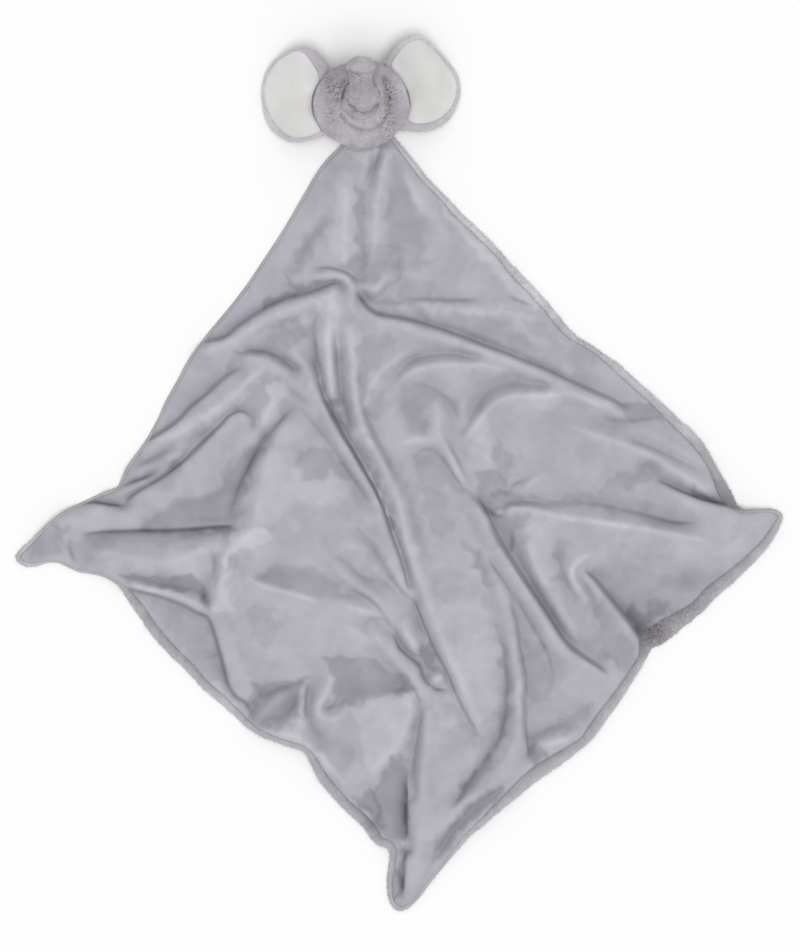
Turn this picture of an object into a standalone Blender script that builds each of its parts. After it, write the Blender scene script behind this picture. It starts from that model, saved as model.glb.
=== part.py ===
"""Comfort blanket with a stuffed elephant head, lying open and rumpled on a flat surface.

The blanket is two square cloths sewn together at the rim: a smooth face, and a plush back whose
edge rolls up round the face as a border. One corner is sewn to the back of a stuffed head with a
trunk and two floppy ears. X runs to the right, Y from the blanket's far corner to the head, and Z
up. The origin is under the middle of the whole. The blanket and the ears were traced on a picture
taken from straight above, so their outlines are in pixels of that picture, and real sizes scale
them.
"""
import math

import bpy
import bmesh
from mathutils import Matrix, Vector
from mathutils.geometry import delaunay_2d_cdt

# Blanket
LAID_WIDTH = 0.935
FACE_CLOTH = 0.0022
BACK_CLOTH = 0.0038
BORDER_RISE = 0.0022
BORDER_ROLL = 0.0045
NECK_BORDER = 0.0022
NECK_ROOM = 0.0005
FOLD_HEIGHT = 0.024
FOLD_WIDTH = 0.032
FOLD_RUN_OUT = 0.055
EDGE_STEP = 0.044
FOLD_STEP = 0.033
OPEN_STEP = 0.060
POINT_ROOM = 0.014
FOOT_ROOM = 0.0095
FLAT_CUT = 0.0005

# Head
HEAD_WIDTH = 0.117
HEAD_LENGTH = 0.105
FACE_DEPTH = 0.048
NAPE_DEPTH = 0.036
PLUSH = 0.004
HINGE_HEIGHT = 0.013
HINGE_ROOM = 0.007

# Trunk
TRUNK_BALL = 0.025
TRUNK_LENGTH = 0.056
TRUNK_SEAT = 0.004
TRUNK_FORWARD = 0.006

# Ears
EAR_LENGTH = 0.117
EAR_EDGE = 0.0040
EAR_BACK_PLUSH = 0.0036
EAR_LINING_CLOTH = 0.0028
EAR_ROLL = 0.0052
EAR_ROOT_HEIGHT = 0.031
EAR_DROP_REACH = 0.056
EAR_CROWN = 0.0016
ROOT_ROOM = 0.0004

# Gap that touching pieces keep
FIT = 0.0003

# Counts
HEAD_SIDES = 32
HEAD_RINGS = 7
TRUNK_SIDES = 20
EAR_SPOKES = 36
INSET_STEPS = 3
ROOT_POINTS = 8

# Shapes that have no size of their own
HEAD_FULLNESS = 2.25
CORNER_EASE_SHARE = 0.5
EAR_RING_SHARE = 0.5
FOLD_END_SHARE = 0.15
OPEN_ROOM_SHARE = 0.6
TRUNK_BASE_LEAN = math.radians(25)
TRUNK_TIP_LEAN = math.radians(78)
NECK_ARC_SHARES = (0.0, 0.25, 0.5, 0.75, 1.0)
NECK_FIRST_BEARING = math.radians(-118)
NECK_LAST_BEARING = math.radians(-44)

# Picture: the pixel over the origin, the corners that LAID_WIDTH joins, and the head's middle
MIDDLE_PX = (399, 475)
LEFT_CORNER_X_PX = 15
RIGHT_CORNER_X_PX = 783
HEAD_CENTRE_PX = (361, 105)
EAR_TOP_TO_BOTTOM_PX = 96

# Blanket's rim from the neck round by the right, in pixels: x, y, width of plush border showing
RIM_PX = [
    (397, 141, 3), (413, 158, 5), (428, 178, 6), (449, 200, 7), (470, 220, 7), (499, 249, 7),
    (530, 285, 7), (565, 325, 7), (580, 345, 7), (600, 355, 7), (630, 380, 7), (665, 410, 8),
    (695, 440, 8), (710, 465, 10), (725, 480, 11), (738, 501, 8), (750, 509, 4), (768, 511, 4),
    (783, 515, 4), (770, 540, 9), (745, 570, 12), (720, 595, 13), (700, 615, 13), (665, 640, 13),
    (645, 655, 12), (625, 685, 10), (600, 720, 11), (570, 750, 12), (540, 775, 12),
    (510, 801, 12), (480, 825, 12), (440, 870, 9), (415, 905, 4), (400, 911, 4), (390, 900, 4),
    (389, 870, 6), (388, 853, 7), (375, 845, 8), (367, 830, 9), (345, 810, 10), (320, 780, 10),
    (305, 755, 9), (280, 745, 6), (250, 730, 6), (230, 705, 7), (190, 665, 9), (160, 640, 9),
    (135, 610, 8), (118, 589, 5), (85, 573, 4), (50, 566, 4), (17, 562, 3), (15, 553, 3),
    (40, 530, 4), (75, 505, 4), (117, 487, 4), (130, 462, 4), (145, 442, 4), (165, 395, 4),
    (180, 365, 4), (200, 345, 4), (225, 310, 4), (255, 270, 4), (285, 230, 4), (310, 185, 4),
    (326, 163, 4), (341, 145, 3),
]

# Crests of the blanket's folds in pixels, and the shares of FOLD_HEIGHT and FOLD_WIDTH that each
# has: its height, its width on the left hand of someone walking along it, and on the right hand
FOLDS_PX = {
    "upper_left_tuck": [(200, 352), (228, 342), (252, 325), (288, 306), (320, 295), (350, 292)],
    "small_tuck": [(305, 275), (330, 273), (352, 281)],
    "upper_right_tuck": [
        (366, 324), (400, 328), (433, 336), (472, 353), (517, 375), (558, 391), (596, 406),
        (624, 417),
    ],
    "neck_middle": [(362, 160), (366, 190), (372, 225), (385, 262)],
    "neck_left": [(346, 205), (344, 240), (348, 270)],
    "short_left": [(325, 310), (328, 350), (331, 390)],
    "long_middle": [
        (345, 335), (350, 380), (358, 420), (380, 465), (400, 510), (410, 560), (417, 592),
        (432, 628), (452, 672), (472, 712), (484, 742),
    ],
    "left_of_middle": [(285, 350), (310, 390), (330, 430), (350, 470), (368, 500), (380, 515)],
    "left_shoulder": [(238, 360), (265, 363), (293, 388), (312, 415)],
    "left_hand_run": [(262, 378), (232, 400), (200, 427)],
    "left_corner_run": [(245, 415), (205, 443), (167, 472), (125, 495), (85, 522), (45, 546)],
    "left_corner_low": [(90, 560), (122, 578), (165, 594), (200, 606)],
    "left_overlap": [(214, 590), (217, 618), (229, 648), (240, 680), (254, 700)],
    "left_blade": [(232, 540), (233, 575), (226, 606)],
    "left_belly": [(245, 577), (282, 597), (325, 606), (372, 616)],
    "lower_middle": [(330, 555), (360, 580), (390, 610), (414, 640)],
    "lower_run": [
        (367, 625), (387, 645), (403, 667), (419, 692), (421, 715), (415, 775), (411, 830),
        (405, 880),
    ],
    "middle_run": [
        (435, 462), (460, 492), (480, 526), (500, 566), (511, 602), (518, 650), (521, 700),
        (524, 728), (531, 760),
    ],
    "right_of_middle": [(490, 532), (518, 576), (543, 616), (572, 652), (610, 668)],
    "right_hook": [(470, 440), (488, 412), (520, 399), (560, 398), (592, 404)],
    "right_run": [(570, 424), (600, 437), (640, 452), (678, 468), (712, 488)],
    "right_corner_run": [(487, 514), (520, 511), (565, 517), (625, 528), (685, 536), (745, 520)],
    "right_low": [(582, 565), (600, 600), (622, 625), (640, 640)],
    "knob": [(437, 405), (446, 436), (460, 472)],
    "knee": [(368, 395), (385, 372), (430, 368), (475, 366)],
    "lower_left_curl": [(285, 690), (308, 702), (330, 690), (345, 668)],
}
FOLD_SHARES = {
    "upper_left_tuck": (0.70, 0.30, 1.00),
    "small_tuck": (0.30, 0.35, 0.45),
    "upper_right_tuck": (1.00, 0.35, 0.90),
    "neck_middle": (0.28, 0.55, 0.55),
    "neck_left": (0.24, 0.50, 0.50),
    "short_left": (0.45, 0.45, 0.45),
    "long_middle": (0.90, 0.80, 0.42),
    "left_of_middle": (0.62, 0.55, 0.55),
    "left_shoulder": (0.55, 0.35, 0.65),
    "left_hand_run": (0.42, 0.50, 0.50),
    "left_corner_run": (0.55, 0.50, 0.50),
    "left_corner_low": (0.50, 0.45, 0.45),
    "left_overlap": (0.55, 0.80, 0.35),
    "left_blade": (0.50, 0.50, 0.45),
    "left_belly": (0.36, 0.50, 0.55),
    "lower_middle": (0.50, 0.50, 0.50),
    "lower_run": (0.72, 0.65, 0.40),
    "middle_run": (0.80, 0.60, 0.50),
    "right_of_middle": (0.80, 0.38, 0.60),
    "right_hook": (0.62, 0.50, 0.50),
    "right_run": (0.62, 0.55, 0.40),
    "right_corner_run": (0.62, 0.40, 0.70),
    "right_low": (0.42, 0.35, 0.60),
    "knob": (0.52, 0.50, 0.45),
    "knee": (0.48, 0.40, 0.50),
    "lower_left_curl": (0.32, 0.45, 0.45),
}

# Ears' free edges in pixels, from the upper end of the root round to the lower end
LEFT_EAR_PX = [
    (330, 72), (323, 60), (316, 52), (307, 48), (296, 50), (283, 56), (270, 67), (264, 80),
    (262, 96), (264, 112), (269, 126), (278, 136), (294, 143), (312, 141), (327, 135),
]
RIGHT_EAR_PX = [
    (384, 66), (388, 56), (395, 47), (407, 39), (421, 38), (437, 52), (454, 70), (460, 86),
    (459, 100), (454, 113), (445, 124), (433, 131), (419, 133), (404, 131), (394, 133),
]

# Trunk's rings past its ball: shares of TRUNK_LENGTH along it, and of TRUNK_BALL across it
TRUNK_RING_SHARES = [
    (0.06, 0.96), (0.15, 0.80), (0.21, 0.86), (0.31, 0.67), (0.37, 0.71), (0.46, 0.61),
    (0.62, 0.60), (0.78, 0.67), (0.90, 0.74), (0.98, 0.72), (1.06, 0.60), (1.12, 0.38),
]
TRUNK_TIP_SHARE = 1.15
TRUNK_BALL_ANGLES = [math.radians(a) for a in (-65, -45, -25, -8)]

# Finishes: linear colour and roughness
FINISHES = {
    "velour": ((0.470, 0.463, 0.520), 0.85),
    "plush": ((0.400, 0.366, 0.400), 0.95),
    "lining": ((0.700, 0.695, 0.670), 0.90),
    "filling": ((0.850, 0.850, 0.840), 1.00),
}

FACE_TOP = BACK_CLOTH + FIT + FACE_CLOTH
PER_PX = LAID_WIDTH / (RIGHT_CORNER_X_PX - LEFT_CORNER_X_PX)
PER_EAR_PX = EAR_LENGTH / EAR_TOP_TO_BOTTOM_PX


def spot(px):
    """Place on the floor under a pixel of the picture."""
    return Vector(((px[0] - MIDDLE_PX[0]) * PER_PX, (MIDDLE_PX[1] - px[1]) * PER_PX))


HEAD_CENTRE = spot(HEAD_CENTRE_PX)


def clear_scene():
    """Remove every object that the scene holds."""
    for item in list(bpy.data.objects):
        bpy.data.objects.remove(item, do_unlink=True)


def finish(name, kind):
    """Material of one piece."""
    colour, roughness = FINISHES[kind]
    material = bpy.data.materials.new(name + "_" + kind)
    material.use_nodes = True
    shader = material.node_tree.nodes["Principled BSDF"]
    shader.inputs["Base Color"].default_value = (*colour, 1.0)
    shader.inputs["Roughness"].default_value = roughness
    shader.inputs["Metallic"].default_value = 0.0
    return material


def add_piece(name, bm, kind, pivot=None):
    """Turn a closed mesh into a named piece, hung on the empty of its joint if it has one."""
    bmesh.ops.recalc_face_normals(bm, faces=list(bm.faces))
    mesh = bpy.data.meshes.new(name)
    bm.to_mesh(mesh)
    bm.free()
    mesh.shade_smooth()
    mesh.set_sharp_from_angle(angle=math.radians(50))
    mesh.materials.append(finish(name, kind))
    piece = bpy.data.objects.new(name, mesh)
    bpy.context.collection.objects.link(piece)
    if pivot is not None:
        mesh.transform(Matrix.Translation(-pivot["place"]))
        piece.parent = pivot["empty"]
    return piece


def add_pivot(name, place, parent=None):
    """Empty on a joint's axis, which the joint's pieces hang on."""
    empty = bpy.data.objects.new(name, None)
    empty.empty_display_size = HINGE_ROOM
    bpy.context.collection.objects.link(empty)
    if parent is None:
        empty.location = place
    else:
        empty.parent = parent["empty"]
        empty.location = place - parent["place"]
    return {"empty": empty, "place": place}


def bridge(bm, first, second):
    """Band of triangles between two closed rings with the same number of points."""
    count = len(first)
    for i in range(count):
        j = (i + 1) % count
        bm.faces.new((first[i], first[j], second[j]))
        bm.faces.new((first[i], second[j], second[i]))


def fan(bm, ring, tip):
    """Faces from a closed ring to one point."""
    count = len(ring)
    for i in range(count):
        bm.faces.new((ring[i], ring[(i + 1) % count], tip))


def ring_verts(bm, points):
    """Add a ring of points to the mesh."""
    return [bm.verts.new(p) for p in points]


# Head's shape

def head_half(height):
    """Share of the head's plan left at a height, and the half depth used there."""
    rise = height - NAPE_DEPTH + FLAT_CUT
    depth = FACE_DEPTH if rise > 0 else NAPE_DEPTH
    share = min(abs(rise) / depth, 1.0)
    return (1.0 - share ** HEAD_FULLNESS) ** (1.0 / HEAD_FULLNESS)


def head_top(across, along):
    """Height of the face over a place measured from the head's centre."""
    plan = math.hypot(across / (HEAD_WIDTH / 2), along / (HEAD_LENGTH / 2))
    rise = (1.0 - plan ** HEAD_FULLNESS) ** (1.0 / HEAD_FULLNESS)
    return NAPE_DEPTH - FLAT_CUT + FACE_DEPTH * rise


def head_ring(angle, upward, inset):
    """Ring of the head's surface: angle is 0 at the seam and a right angle at the pole."""
    plan = math.cos(angle) ** (2.0 / HEAD_FULLNESS)
    rise = math.sin(angle) ** (2.0 / HEAD_FULLNESS)
    depth = (FACE_DEPTH if upward else NAPE_DEPTH) - inset
    floor = inset
    height = NAPE_DEPTH - FLAT_CUT + (depth * rise if upward else -depth * rise)
    ring = []
    for i in range(HEAD_SIDES):
        turn = 2.0 * math.pi * i / HEAD_SIDES
        ring.append(Vector((
            HEAD_CENTRE.x + (HEAD_WIDTH / 2 - inset) * plan * math.cos(turn),
            HEAD_CENTRE.y + (HEAD_LENGTH / 2 - inset) * plan * math.sin(turn),
            max(height, floor),
        )))
    return ring


def head_rings(upward, inset, seam_gap):
    """Rings of half the head from the seam to the pole, or to the flat that it lies on."""
    last = math.pi / 2
    if not upward:
        flat = 1.0 - FLAT_CUT / NAPE_DEPTH
        last = math.asin(flat ** (HEAD_FULLNESS / 2.0))
    rings = []
    count = HEAD_RINGS
    for k in range(count if upward else count + 1):
        rings.append(head_ring(last * k / count, upward, inset))
    for point in rings[0]:
        point.z += seam_gap if upward else -seam_gap
    return rings


def head_pole(upward, inset):
    """Point on the head's pole."""
    height = NAPE_DEPTH - FLAT_CUT + FACE_DEPTH - inset if upward else inset
    return Vector((HEAD_CENTRE.x, HEAD_CENTRE.y, height))


def make_head_cover(name, upward, pivot):
    """Half of the head's plush cover: a bowl, open at the seam round the head."""
    bm = bmesh.new()
    seams = []
    for inset in (0.0, PLUSH):
        rings = [ring_verts(bm, ring) for ring in head_rings(upward, inset, FIT / 2)]
        for lower, upper in zip(rings, rings[1:]):
            bridge(bm, lower, upper)
        fan(bm, rings[-1], bm.verts.new(head_pole(upward, inset)))
        seams.append(rings[0])
    bridge(bm, seams[0], seams[1])
    return add_piece(name, bm, "plush", pivot)


def make_head_filling(pivot):
    """Stuffing that fills both halves of the cover."""
    bm = bmesh.new()
    inset = PLUSH + FIT
    upper = [ring_verts(bm, ring) for ring in head_rings(True, inset, 0.0)]
    lower = [ring_verts(bm, ring) for ring in head_rings(False, inset, 0.0)[1:]]
    rings = list(reversed(lower)) + upper
    for first, second in zip(rings, rings[1:]):
        bridge(bm, first, second)
    fan(bm, rings[0], bm.verts.new(head_pole(False, inset)))
    fan(bm, rings[-1], bm.verts.new(head_pole(True, inset)))
    return add_piece("head_filling", bm, "filling", pivot)


# Trunk

def trunk_base():
    """Centre of the ball that the trunk is seated on, sunk in the face."""
    height = head_top(0.0, TRUNK_FORWARD) - TRUNK_SEAT
    return Vector((HEAD_CENTRE.x, HEAD_CENTRE.y + TRUNK_FORWARD, height))


def trunk_way(along):
    """Place and direction on the trunk's middle line, which bends evenly past its ball."""
    radius = TRUNK_LENGTH / (TRUNK_TIP_LEAN - TRUNK_BASE_LEAN)
    lean = TRUNK_BASE_LEAN + max(along, 0.0) / radius
    heading = Vector((0.0, math.sin(lean), math.cos(lean)))
    if along <= 0.0:
        return trunk_base() + heading * along, heading
    forward = radius * (math.cos(TRUNK_BASE_LEAN) - math.cos(lean))
    up = radius * (math.sin(lean) - math.sin(TRUNK_BASE_LEAN))
    return trunk_base() + Vector((0.0, forward, up)), heading


def round_ring(centre, direction, radius):
    """Ring square to a direction that lies in the YZ plane."""
    side = Vector((1.0, 0.0, 0.0))
    over = direction.cross(side)
    ring = []
    for i in range(TRUNK_SIDES):
        turn = 2.0 * math.pi * i / TRUNK_SIDES
        ring.append(centre + side * radius * math.cos(turn) + over * radius * math.sin(turn))
    return ring


def trunk_profile():
    """Trunk's outline as (along, across): its ball, its wrinkled collar, and its flared tip."""
    profile = []
    for angle in TRUNK_BALL_ANGLES:
        profile.append(Vector((TRUNK_BALL * math.sin(angle), TRUNK_BALL * math.cos(angle))))
    for along_share, across_share in TRUNK_RING_SHARES:
        profile.append(Vector((TRUNK_LENGTH * along_share, TRUNK_BALL * across_share)))
    profile.append(Vector((TRUNK_LENGTH * TRUNK_TIP_SHARE, 0.0)))
    return profile


def trunk_rings(inset):
    """Rings of the trunk from the mouth in its ball to its tip, drawn in by a wall."""
    profile = trunk_profile()
    last = len(profile) - 1
    rings = []
    for i, place in enumerate(profile[:-1]):
        along = profile[i + 1] - profile[max(i - 1, 0)]
        inward = Vector((along.y, -along.x)).normalized()
        centre, heading = trunk_way(place.x + inward.x * inset)
        rings.append(round_ring(centre, heading, place.y + inward.y * inset))
    tip, _ = trunk_way(profile[last].x - inset)
    return rings, tip


def make_trunk_cover(pivot):
    """Plush cover of the trunk, open at the mouth in its ball."""
    bm = bmesh.new()
    mouths = []
    for inset in (0.0, PLUSH):
        places, tip = trunk_rings(inset)
        rings = [ring_verts(bm, ring) for ring in places]
        for lower, upper in zip(rings, rings[1:]):
            bridge(bm, lower, upper)
        fan(bm, rings[-1], bm.verts.new(tip))
        mouths.append(rings[0])
    bridge(bm, mouths[0], mouths[1])
    return add_piece("trunk_cover", bm, "plush", pivot)


def make_trunk_filling(pivot):
    """Stuffing of the trunk."""
    bm = bmesh.new()
    places, tip = trunk_rings(PLUSH + FIT)
    rings = [ring_verts(bm, ring) for ring in places]
    for lower, upper in zip(rings, rings[1:]):
        bridge(bm, lower, upper)
    fan(bm, rings[-1], bm.verts.new(tip))
    fan(bm, rings[0], bm.verts.new(sum((v.co for v in rings[0]), Vector()) / TRUNK_SIDES))
    return add_piece("trunk_filling", bm, "filling", pivot)


def make_trunk_seat():
    """Ball-shaped cutter for the dish that the trunk turns in."""
    bm = bmesh.new()
    flat_sides = math.cos(math.pi / HEAD_SIDES) ** 2
    bmesh.ops.create_uvsphere(
        bm, u_segments=HEAD_SIDES, v_segments=HEAD_SIDES // 2,
        radius=(TRUNK_BALL + FIT) / flat_sides,
    )
    mesh = bpy.data.meshes.new("trunk_seat_cutter")
    bm.to_mesh(mesh)
    bm.free()
    cutter = bpy.data.objects.new("trunk_seat_cutter", mesh)
    bpy.context.collection.objects.link(cutter)
    cutter.location = trunk_base()
    cutter.hide_render = True
    cutter.display_type = "WIRE"
    return cutter


def cut(piece, cutter):
    """Take the cutter's shape out of a piece."""
    modifier = piece.modifiers.new("seat", "BOOLEAN")
    modifier.operation = "DIFFERENCE"
    modifier.solver = "EXACT"
    modifier.object = cutter


# Ears

def root_side(along):
    """Distance from the head's middle plane to an ear's root, which hugs the head's side."""
    share = max(head_half(EAR_ROOT_HEIGHT + EAR_EDGE * s) for s in (-1.0, 0.0, 1.0))
    reach = HEAD_LENGTH / 2 * share + ROOT_ROOM
    left = max(0.0, 1.0 - (along / reach) ** 2)
    return (HEAD_WIDTH / 2 * share + ROOT_ROOM) * math.sqrt(left)


def ear_root_gap():
    """Distance from the head's middle plane to the ears' hinge axis."""
    return root_side(0.0) + EAR_EDGE


def ear_height(out):
    """Height of an ear's middle at a distance out from its axis: it drops, then lies flat."""
    share = min(max(out / EAR_DROP_REACH, 0.0), 1.0)
    fall = share * share * (3.0 - 2.0 * share)
    low = EAR_EDGE + FIT
    return EAR_ROOT_HEIGHT + (low - EAR_ROOT_HEIGHT) * fall


def smooth_closed(points, count):
    """Even points on a smooth closed curve through the given ones."""
    dense = []
    total = len(points)
    for i in range(total):
        a, b = points[i - 1], points[i]
        c, d = points[(i + 1) % total], points[(i + 2) % total]
        for step in range(8):
            t = step / 8.0
            dense.append(0.5 * (
                2.0 * b + (c - a) * t + (2.0 * a - 5.0 * b + 4.0 * c - d) * t * t
                + (3.0 * b - a - 3.0 * c + d) * t ** 3
            ))
    return even_closed(dense, count)


def even_closed(points, count):
    """Points at even spacing along a closed line."""
    lengths = [0.0]
    for i in range(len(points)):
        lengths.append(lengths[-1] + (points[(i + 1) % len(points)] - points[i]).length)
    picked = []
    k = 0
    for i in range(count):
        want = lengths[-1] * i / count
        while lengths[k + 1] < want:
            k += 1
        t = (want - lengths[k]) / max(lengths[k + 1] - lengths[k], FIT * FIT)
        picked.append(points[k].lerp(points[(k + 1) % len(points)], t))
    return picked


def ear_outline(table, side):
    """Ear's outline as (out, along) from the hinge axis: its root follows the head's side."""
    free = []
    for x, y in table:
        out = side * (x - HEAD_CENTRE_PX[0]) * PER_EAR_PX - ear_root_gap()
        along = (HEAD_CENTRE_PX[1] - y) * PER_EAR_PX
        free.append(Vector((max(out, root_side(along) - ear_root_gap()), along)))
    root = []
    top, bottom = free[0].y, free[-1].y
    for k in range(1, ROOT_POINTS):
        along = bottom + (top - bottom) * k / ROOT_POINTS
        root.append(Vector((root_side(along) - ear_root_gap(), along)))
    return relax(smooth_closed(free + root, EAR_SPOKES), CORNER_EASE_SHARE)


def relax(loop, share):
    """Closed loop with its corners eased: each point moves toward its neighbours' middle."""
    count = len(loop)
    return [
        loop[i].lerp((loop[i - 1] + loop[(i + 1) % count]) / 2.0, share) for i in range(count)
    ]


def inset_loop(loop, distance):
    """Closed loop moved inwards by a distance, in small steps that ease its outward corners."""
    count = len(loop)
    area = sum(loop[i - 1].x * loop[i].y - loop[i].x * loop[i - 1].y for i in range(count))
    turn = 1.0 if area > 0 else -1.0
    moved = loop
    for step in range(INSET_STEPS):
        inward = []
        for i in range(count):
            along = (moved[(i + 1) % count] - moved[i - 1]).normalized()
            inward.append(Vector((-along.y, along.x)) * turn)
        pushed = [p + n * distance / INSET_STEPS for p, n in zip(moved, inward)]
        eased = relax(pushed, CORNER_EASE_SHARE)
        moved = [e if (e - p).dot(n) > 0 else p for p, n, e in zip(pushed, inward, eased)]
    return moved


def ear_point(side, flat, lift):
    """Point of an ear in space, from its place on the flat ear and a height over its middle.

    The root is rounded about the hinge axis, so that it clears the head at every angle.
    """
    room = ear_root_gap() - root_side(flat.y)
    out = max(flat.x, -math.sqrt(max(room * room - lift * lift, 0.0)))
    return Vector((
        HEAD_CENTRE.x + side * (ear_root_gap() + out),
        HEAD_CENTRE.y + flat.y,
        ear_height(out) + lift,
    ))


def shrink(loop, share):
    """Loop drawn in toward its middle."""
    middle = sum(loop, Vector((0.0, 0.0))) / len(loop)
    return [middle + (p - middle) * share for p in loop]


def ear_insets(outline):
    """Loops inside an ear's outline: its rounded edge, its roll's crest, and the lining's seat."""
    rounded = inset_loop(outline, EAR_EDGE * (1.0 - math.sqrt(0.5)))
    crest = inset_loop(rounded, EAR_EDGE * math.sqrt(0.5))
    return rounded, crest, inset_loop(crest, EAR_ROLL - EAR_EDGE)


def make_ear_back(name, outline, side, pivot):
    """Plush back of an ear: its rim rolls up round the lining's edge."""
    floor = EAR_BACK_PLUSH - EAR_EDGE
    lift = EAR_EDGE * math.sqrt(0.5)
    rounded, crest, seat = ear_insets(outline)
    levels = [
        (shrink(seat, EAR_RING_SHARE), -EAR_EDGE),
        (crest, -EAR_EDGE),
        (rounded, -lift),
        (outline, 0.0),
        (rounded, lift),
        (crest, EAR_EDGE),
        (seat, floor),
        (shrink(seat, EAR_RING_SHARE), floor),
    ]
    bm = bmesh.new()
    rings = []
    for loop, height in levels:
        rings.append(ring_verts(bm, [ear_point(side, p, height) for p in loop]))
    for lower, upper in zip(rings, rings[1:]):
        bridge(bm, lower, upper)
    middle = shrink(outline, 0.0)[0]
    fan(bm, rings[0], bm.verts.new(ear_point(side, middle, -EAR_EDGE)))
    fan(bm, rings[-1], bm.verts.new(ear_point(side, middle, floor)))
    return add_piece(name, bm, "plush", pivot)


def make_ear_lining(name, outline, side, pivot):
    """Smooth lining of an ear, seated in the roll of the back and a little crowned."""
    low = EAR_BACK_PLUSH - EAR_EDGE + FIT
    edge = ear_insets(outline)[2]
    half = shrink(edge, EAR_RING_SHARE)
    middle = shrink(outline, 0.0)[0]
    crown = EAR_CROWN
    bm = bmesh.new()
    under = ring_verts(bm, [ear_point(side, p, low) for p in half])
    below = ring_verts(bm, [ear_point(side, p, low) for p in edge])
    above = ring_verts(bm, [ear_point(side, p, low + EAR_LINING_CLOTH) for p in edge])
    over = ring_verts(bm, [ear_point(side, p, low + EAR_LINING_CLOTH + crown) for p in half])
    for outside, within in ((below, under), (below, above), (above, over)):
        bridge(bm, outside, within)
    fan(bm, under, bm.verts.new(ear_point(side, middle, low)))
    fan(bm, over, bm.verts.new(ear_point(side, middle, low + EAR_LINING_CLOTH + crown)))
    return add_piece(name, bm, "lining", pivot)


# Blanket

def fold_lines():
    """Folds in real sizes: crest points, height, width to the left and width to the right."""
    lines = []
    for name, crest in FOLDS_PX.items():
        height, left, right = FOLD_SHARES[name]
        points = [spot(p) for p in crest]
        lines.append((points, height * FOLD_HEIGHT, left * FOLD_WIDTH, right * FOLD_WIDTH))
    return lines


def nearest(points, place):
    """Distance from a place to an open line, the side it is on, and how far from the ends."""
    best = None
    walked = 0.0
    for a, b in zip(points, points[1:]):
        run = b - a
        t = min(max((place - a).dot(run) / run.length_squared, 0.0), 1.0)
        foot = a + run * t
        away = (place - foot).length
        if best is None or away < best[0]:
            side = run.x * (place.y - a.y) - run.y * (place.x - a.x)
            best = (away, side, walked + run.length * t)
        walked += run.length
    away, side, along = best
    return away, side, min(along, walked - along)


def lift_at(place, lines):
    """Height of the blanket's back over the floor: the highest of the folds there."""
    highest = 0.0
    for points, height, left, right in lines:
        away, side, from_end = nearest(points, place)
        width = left if side > 0 else right
        if away < width:
            run_out = FOLD_END_SHARE + (1.0 - FOLD_END_SHARE) * min(from_end / FOLD_RUN_OUT, 1.0)
            bump = height * run_out * (0.5 + 0.5 * math.cos(math.pi * away / width))
            highest = max(highest, bump)
    return highest


def neck_arc():
    """Rim of the blanket where it is sewn under the head: its border's crest meets the head."""
    rolled = border_rolled(NECK_BORDER)
    share = head_half(FACE_TOP + BORDER_RISE * rolled)
    room = NECK_ROOM - NECK_BORDER * rolled
    arc = []
    for step in NECK_ARC_SHARES:
        bearing = NECK_FIRST_BEARING + (NECK_LAST_BEARING - NECK_FIRST_BEARING) * step
        arc.append(HEAD_CENTRE + Vector((
            (HEAD_WIDTH / 2 * share + room) * math.cos(bearing),
            (HEAD_LENGTH / 2 * share + room) * math.sin(bearing),
        )))
    return arc


def border_rolled(border):
    """Share of a border's width from the seam to its crest."""
    return min(border / 2, BORDER_ROLL) / border


def rim_and_seam():
    """Blanket's rim, and the seam inside it where face and border meet, anticlockwise."""
    rim = [(p, NECK_BORDER) for p in neck_arc()]
    for x, y, border in RIM_PX:
        rim.append((spot((x, y)), border * PER_PX))
    dense = []
    for i, (start, width) in enumerate(rim):
        end, next_width = rim[(i + 1) % len(rim)]
        steps = max(1, round((end - start).length / EDGE_STEP))
        for k in range(steps):
            t = k / steps
            dense.append((start.lerp(end, t), width + (next_width - width) * t))
    dense.reverse()
    outer = [p for p, width in dense]
    seam = []
    count = len(dense)
    for i, (place, width) in enumerate(dense):
        before = (place - outer[i - 1]).normalized()
        after = (outer[(i + 1) % count] - place).normalized()
        along = (before + after).normalized()
        widen = 1.0 / max(along.dot(after), 0.5)
        seam.append(place + Vector((-along.y, along.x)) * width * widen)
    return outer, seam


def inside(place, loop):
    """Whether a place lies within a closed loop."""
    crossings = 0
    for i in range(len(loop)):
        a, b = loop[i - 1], loop[i]
        if (a.y > place.y) != (b.y > place.y):
            at = a.x + (place.y - a.y) / (b.y - a.y) * (b.x - a.x)
            crossings += at > place.x
    return crossings % 2 == 1


def walk(points, step):
    """Even points along an open line."""
    total = sum((b - a).length for a, b in zip(points, points[1:]))
    count = max(1, round(total / step))
    picked = [points[0]]
    run = 0.0
    for a, b in zip(points, points[1:]):
        length = (b - a).length
        while len(picked) < count and run + length >= total * len(picked) / count:
            picked.append(a.lerp(b, (total * len(picked) / count - run) / length))
        run += length
    picked.append(points[-1])
    return picked


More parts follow.
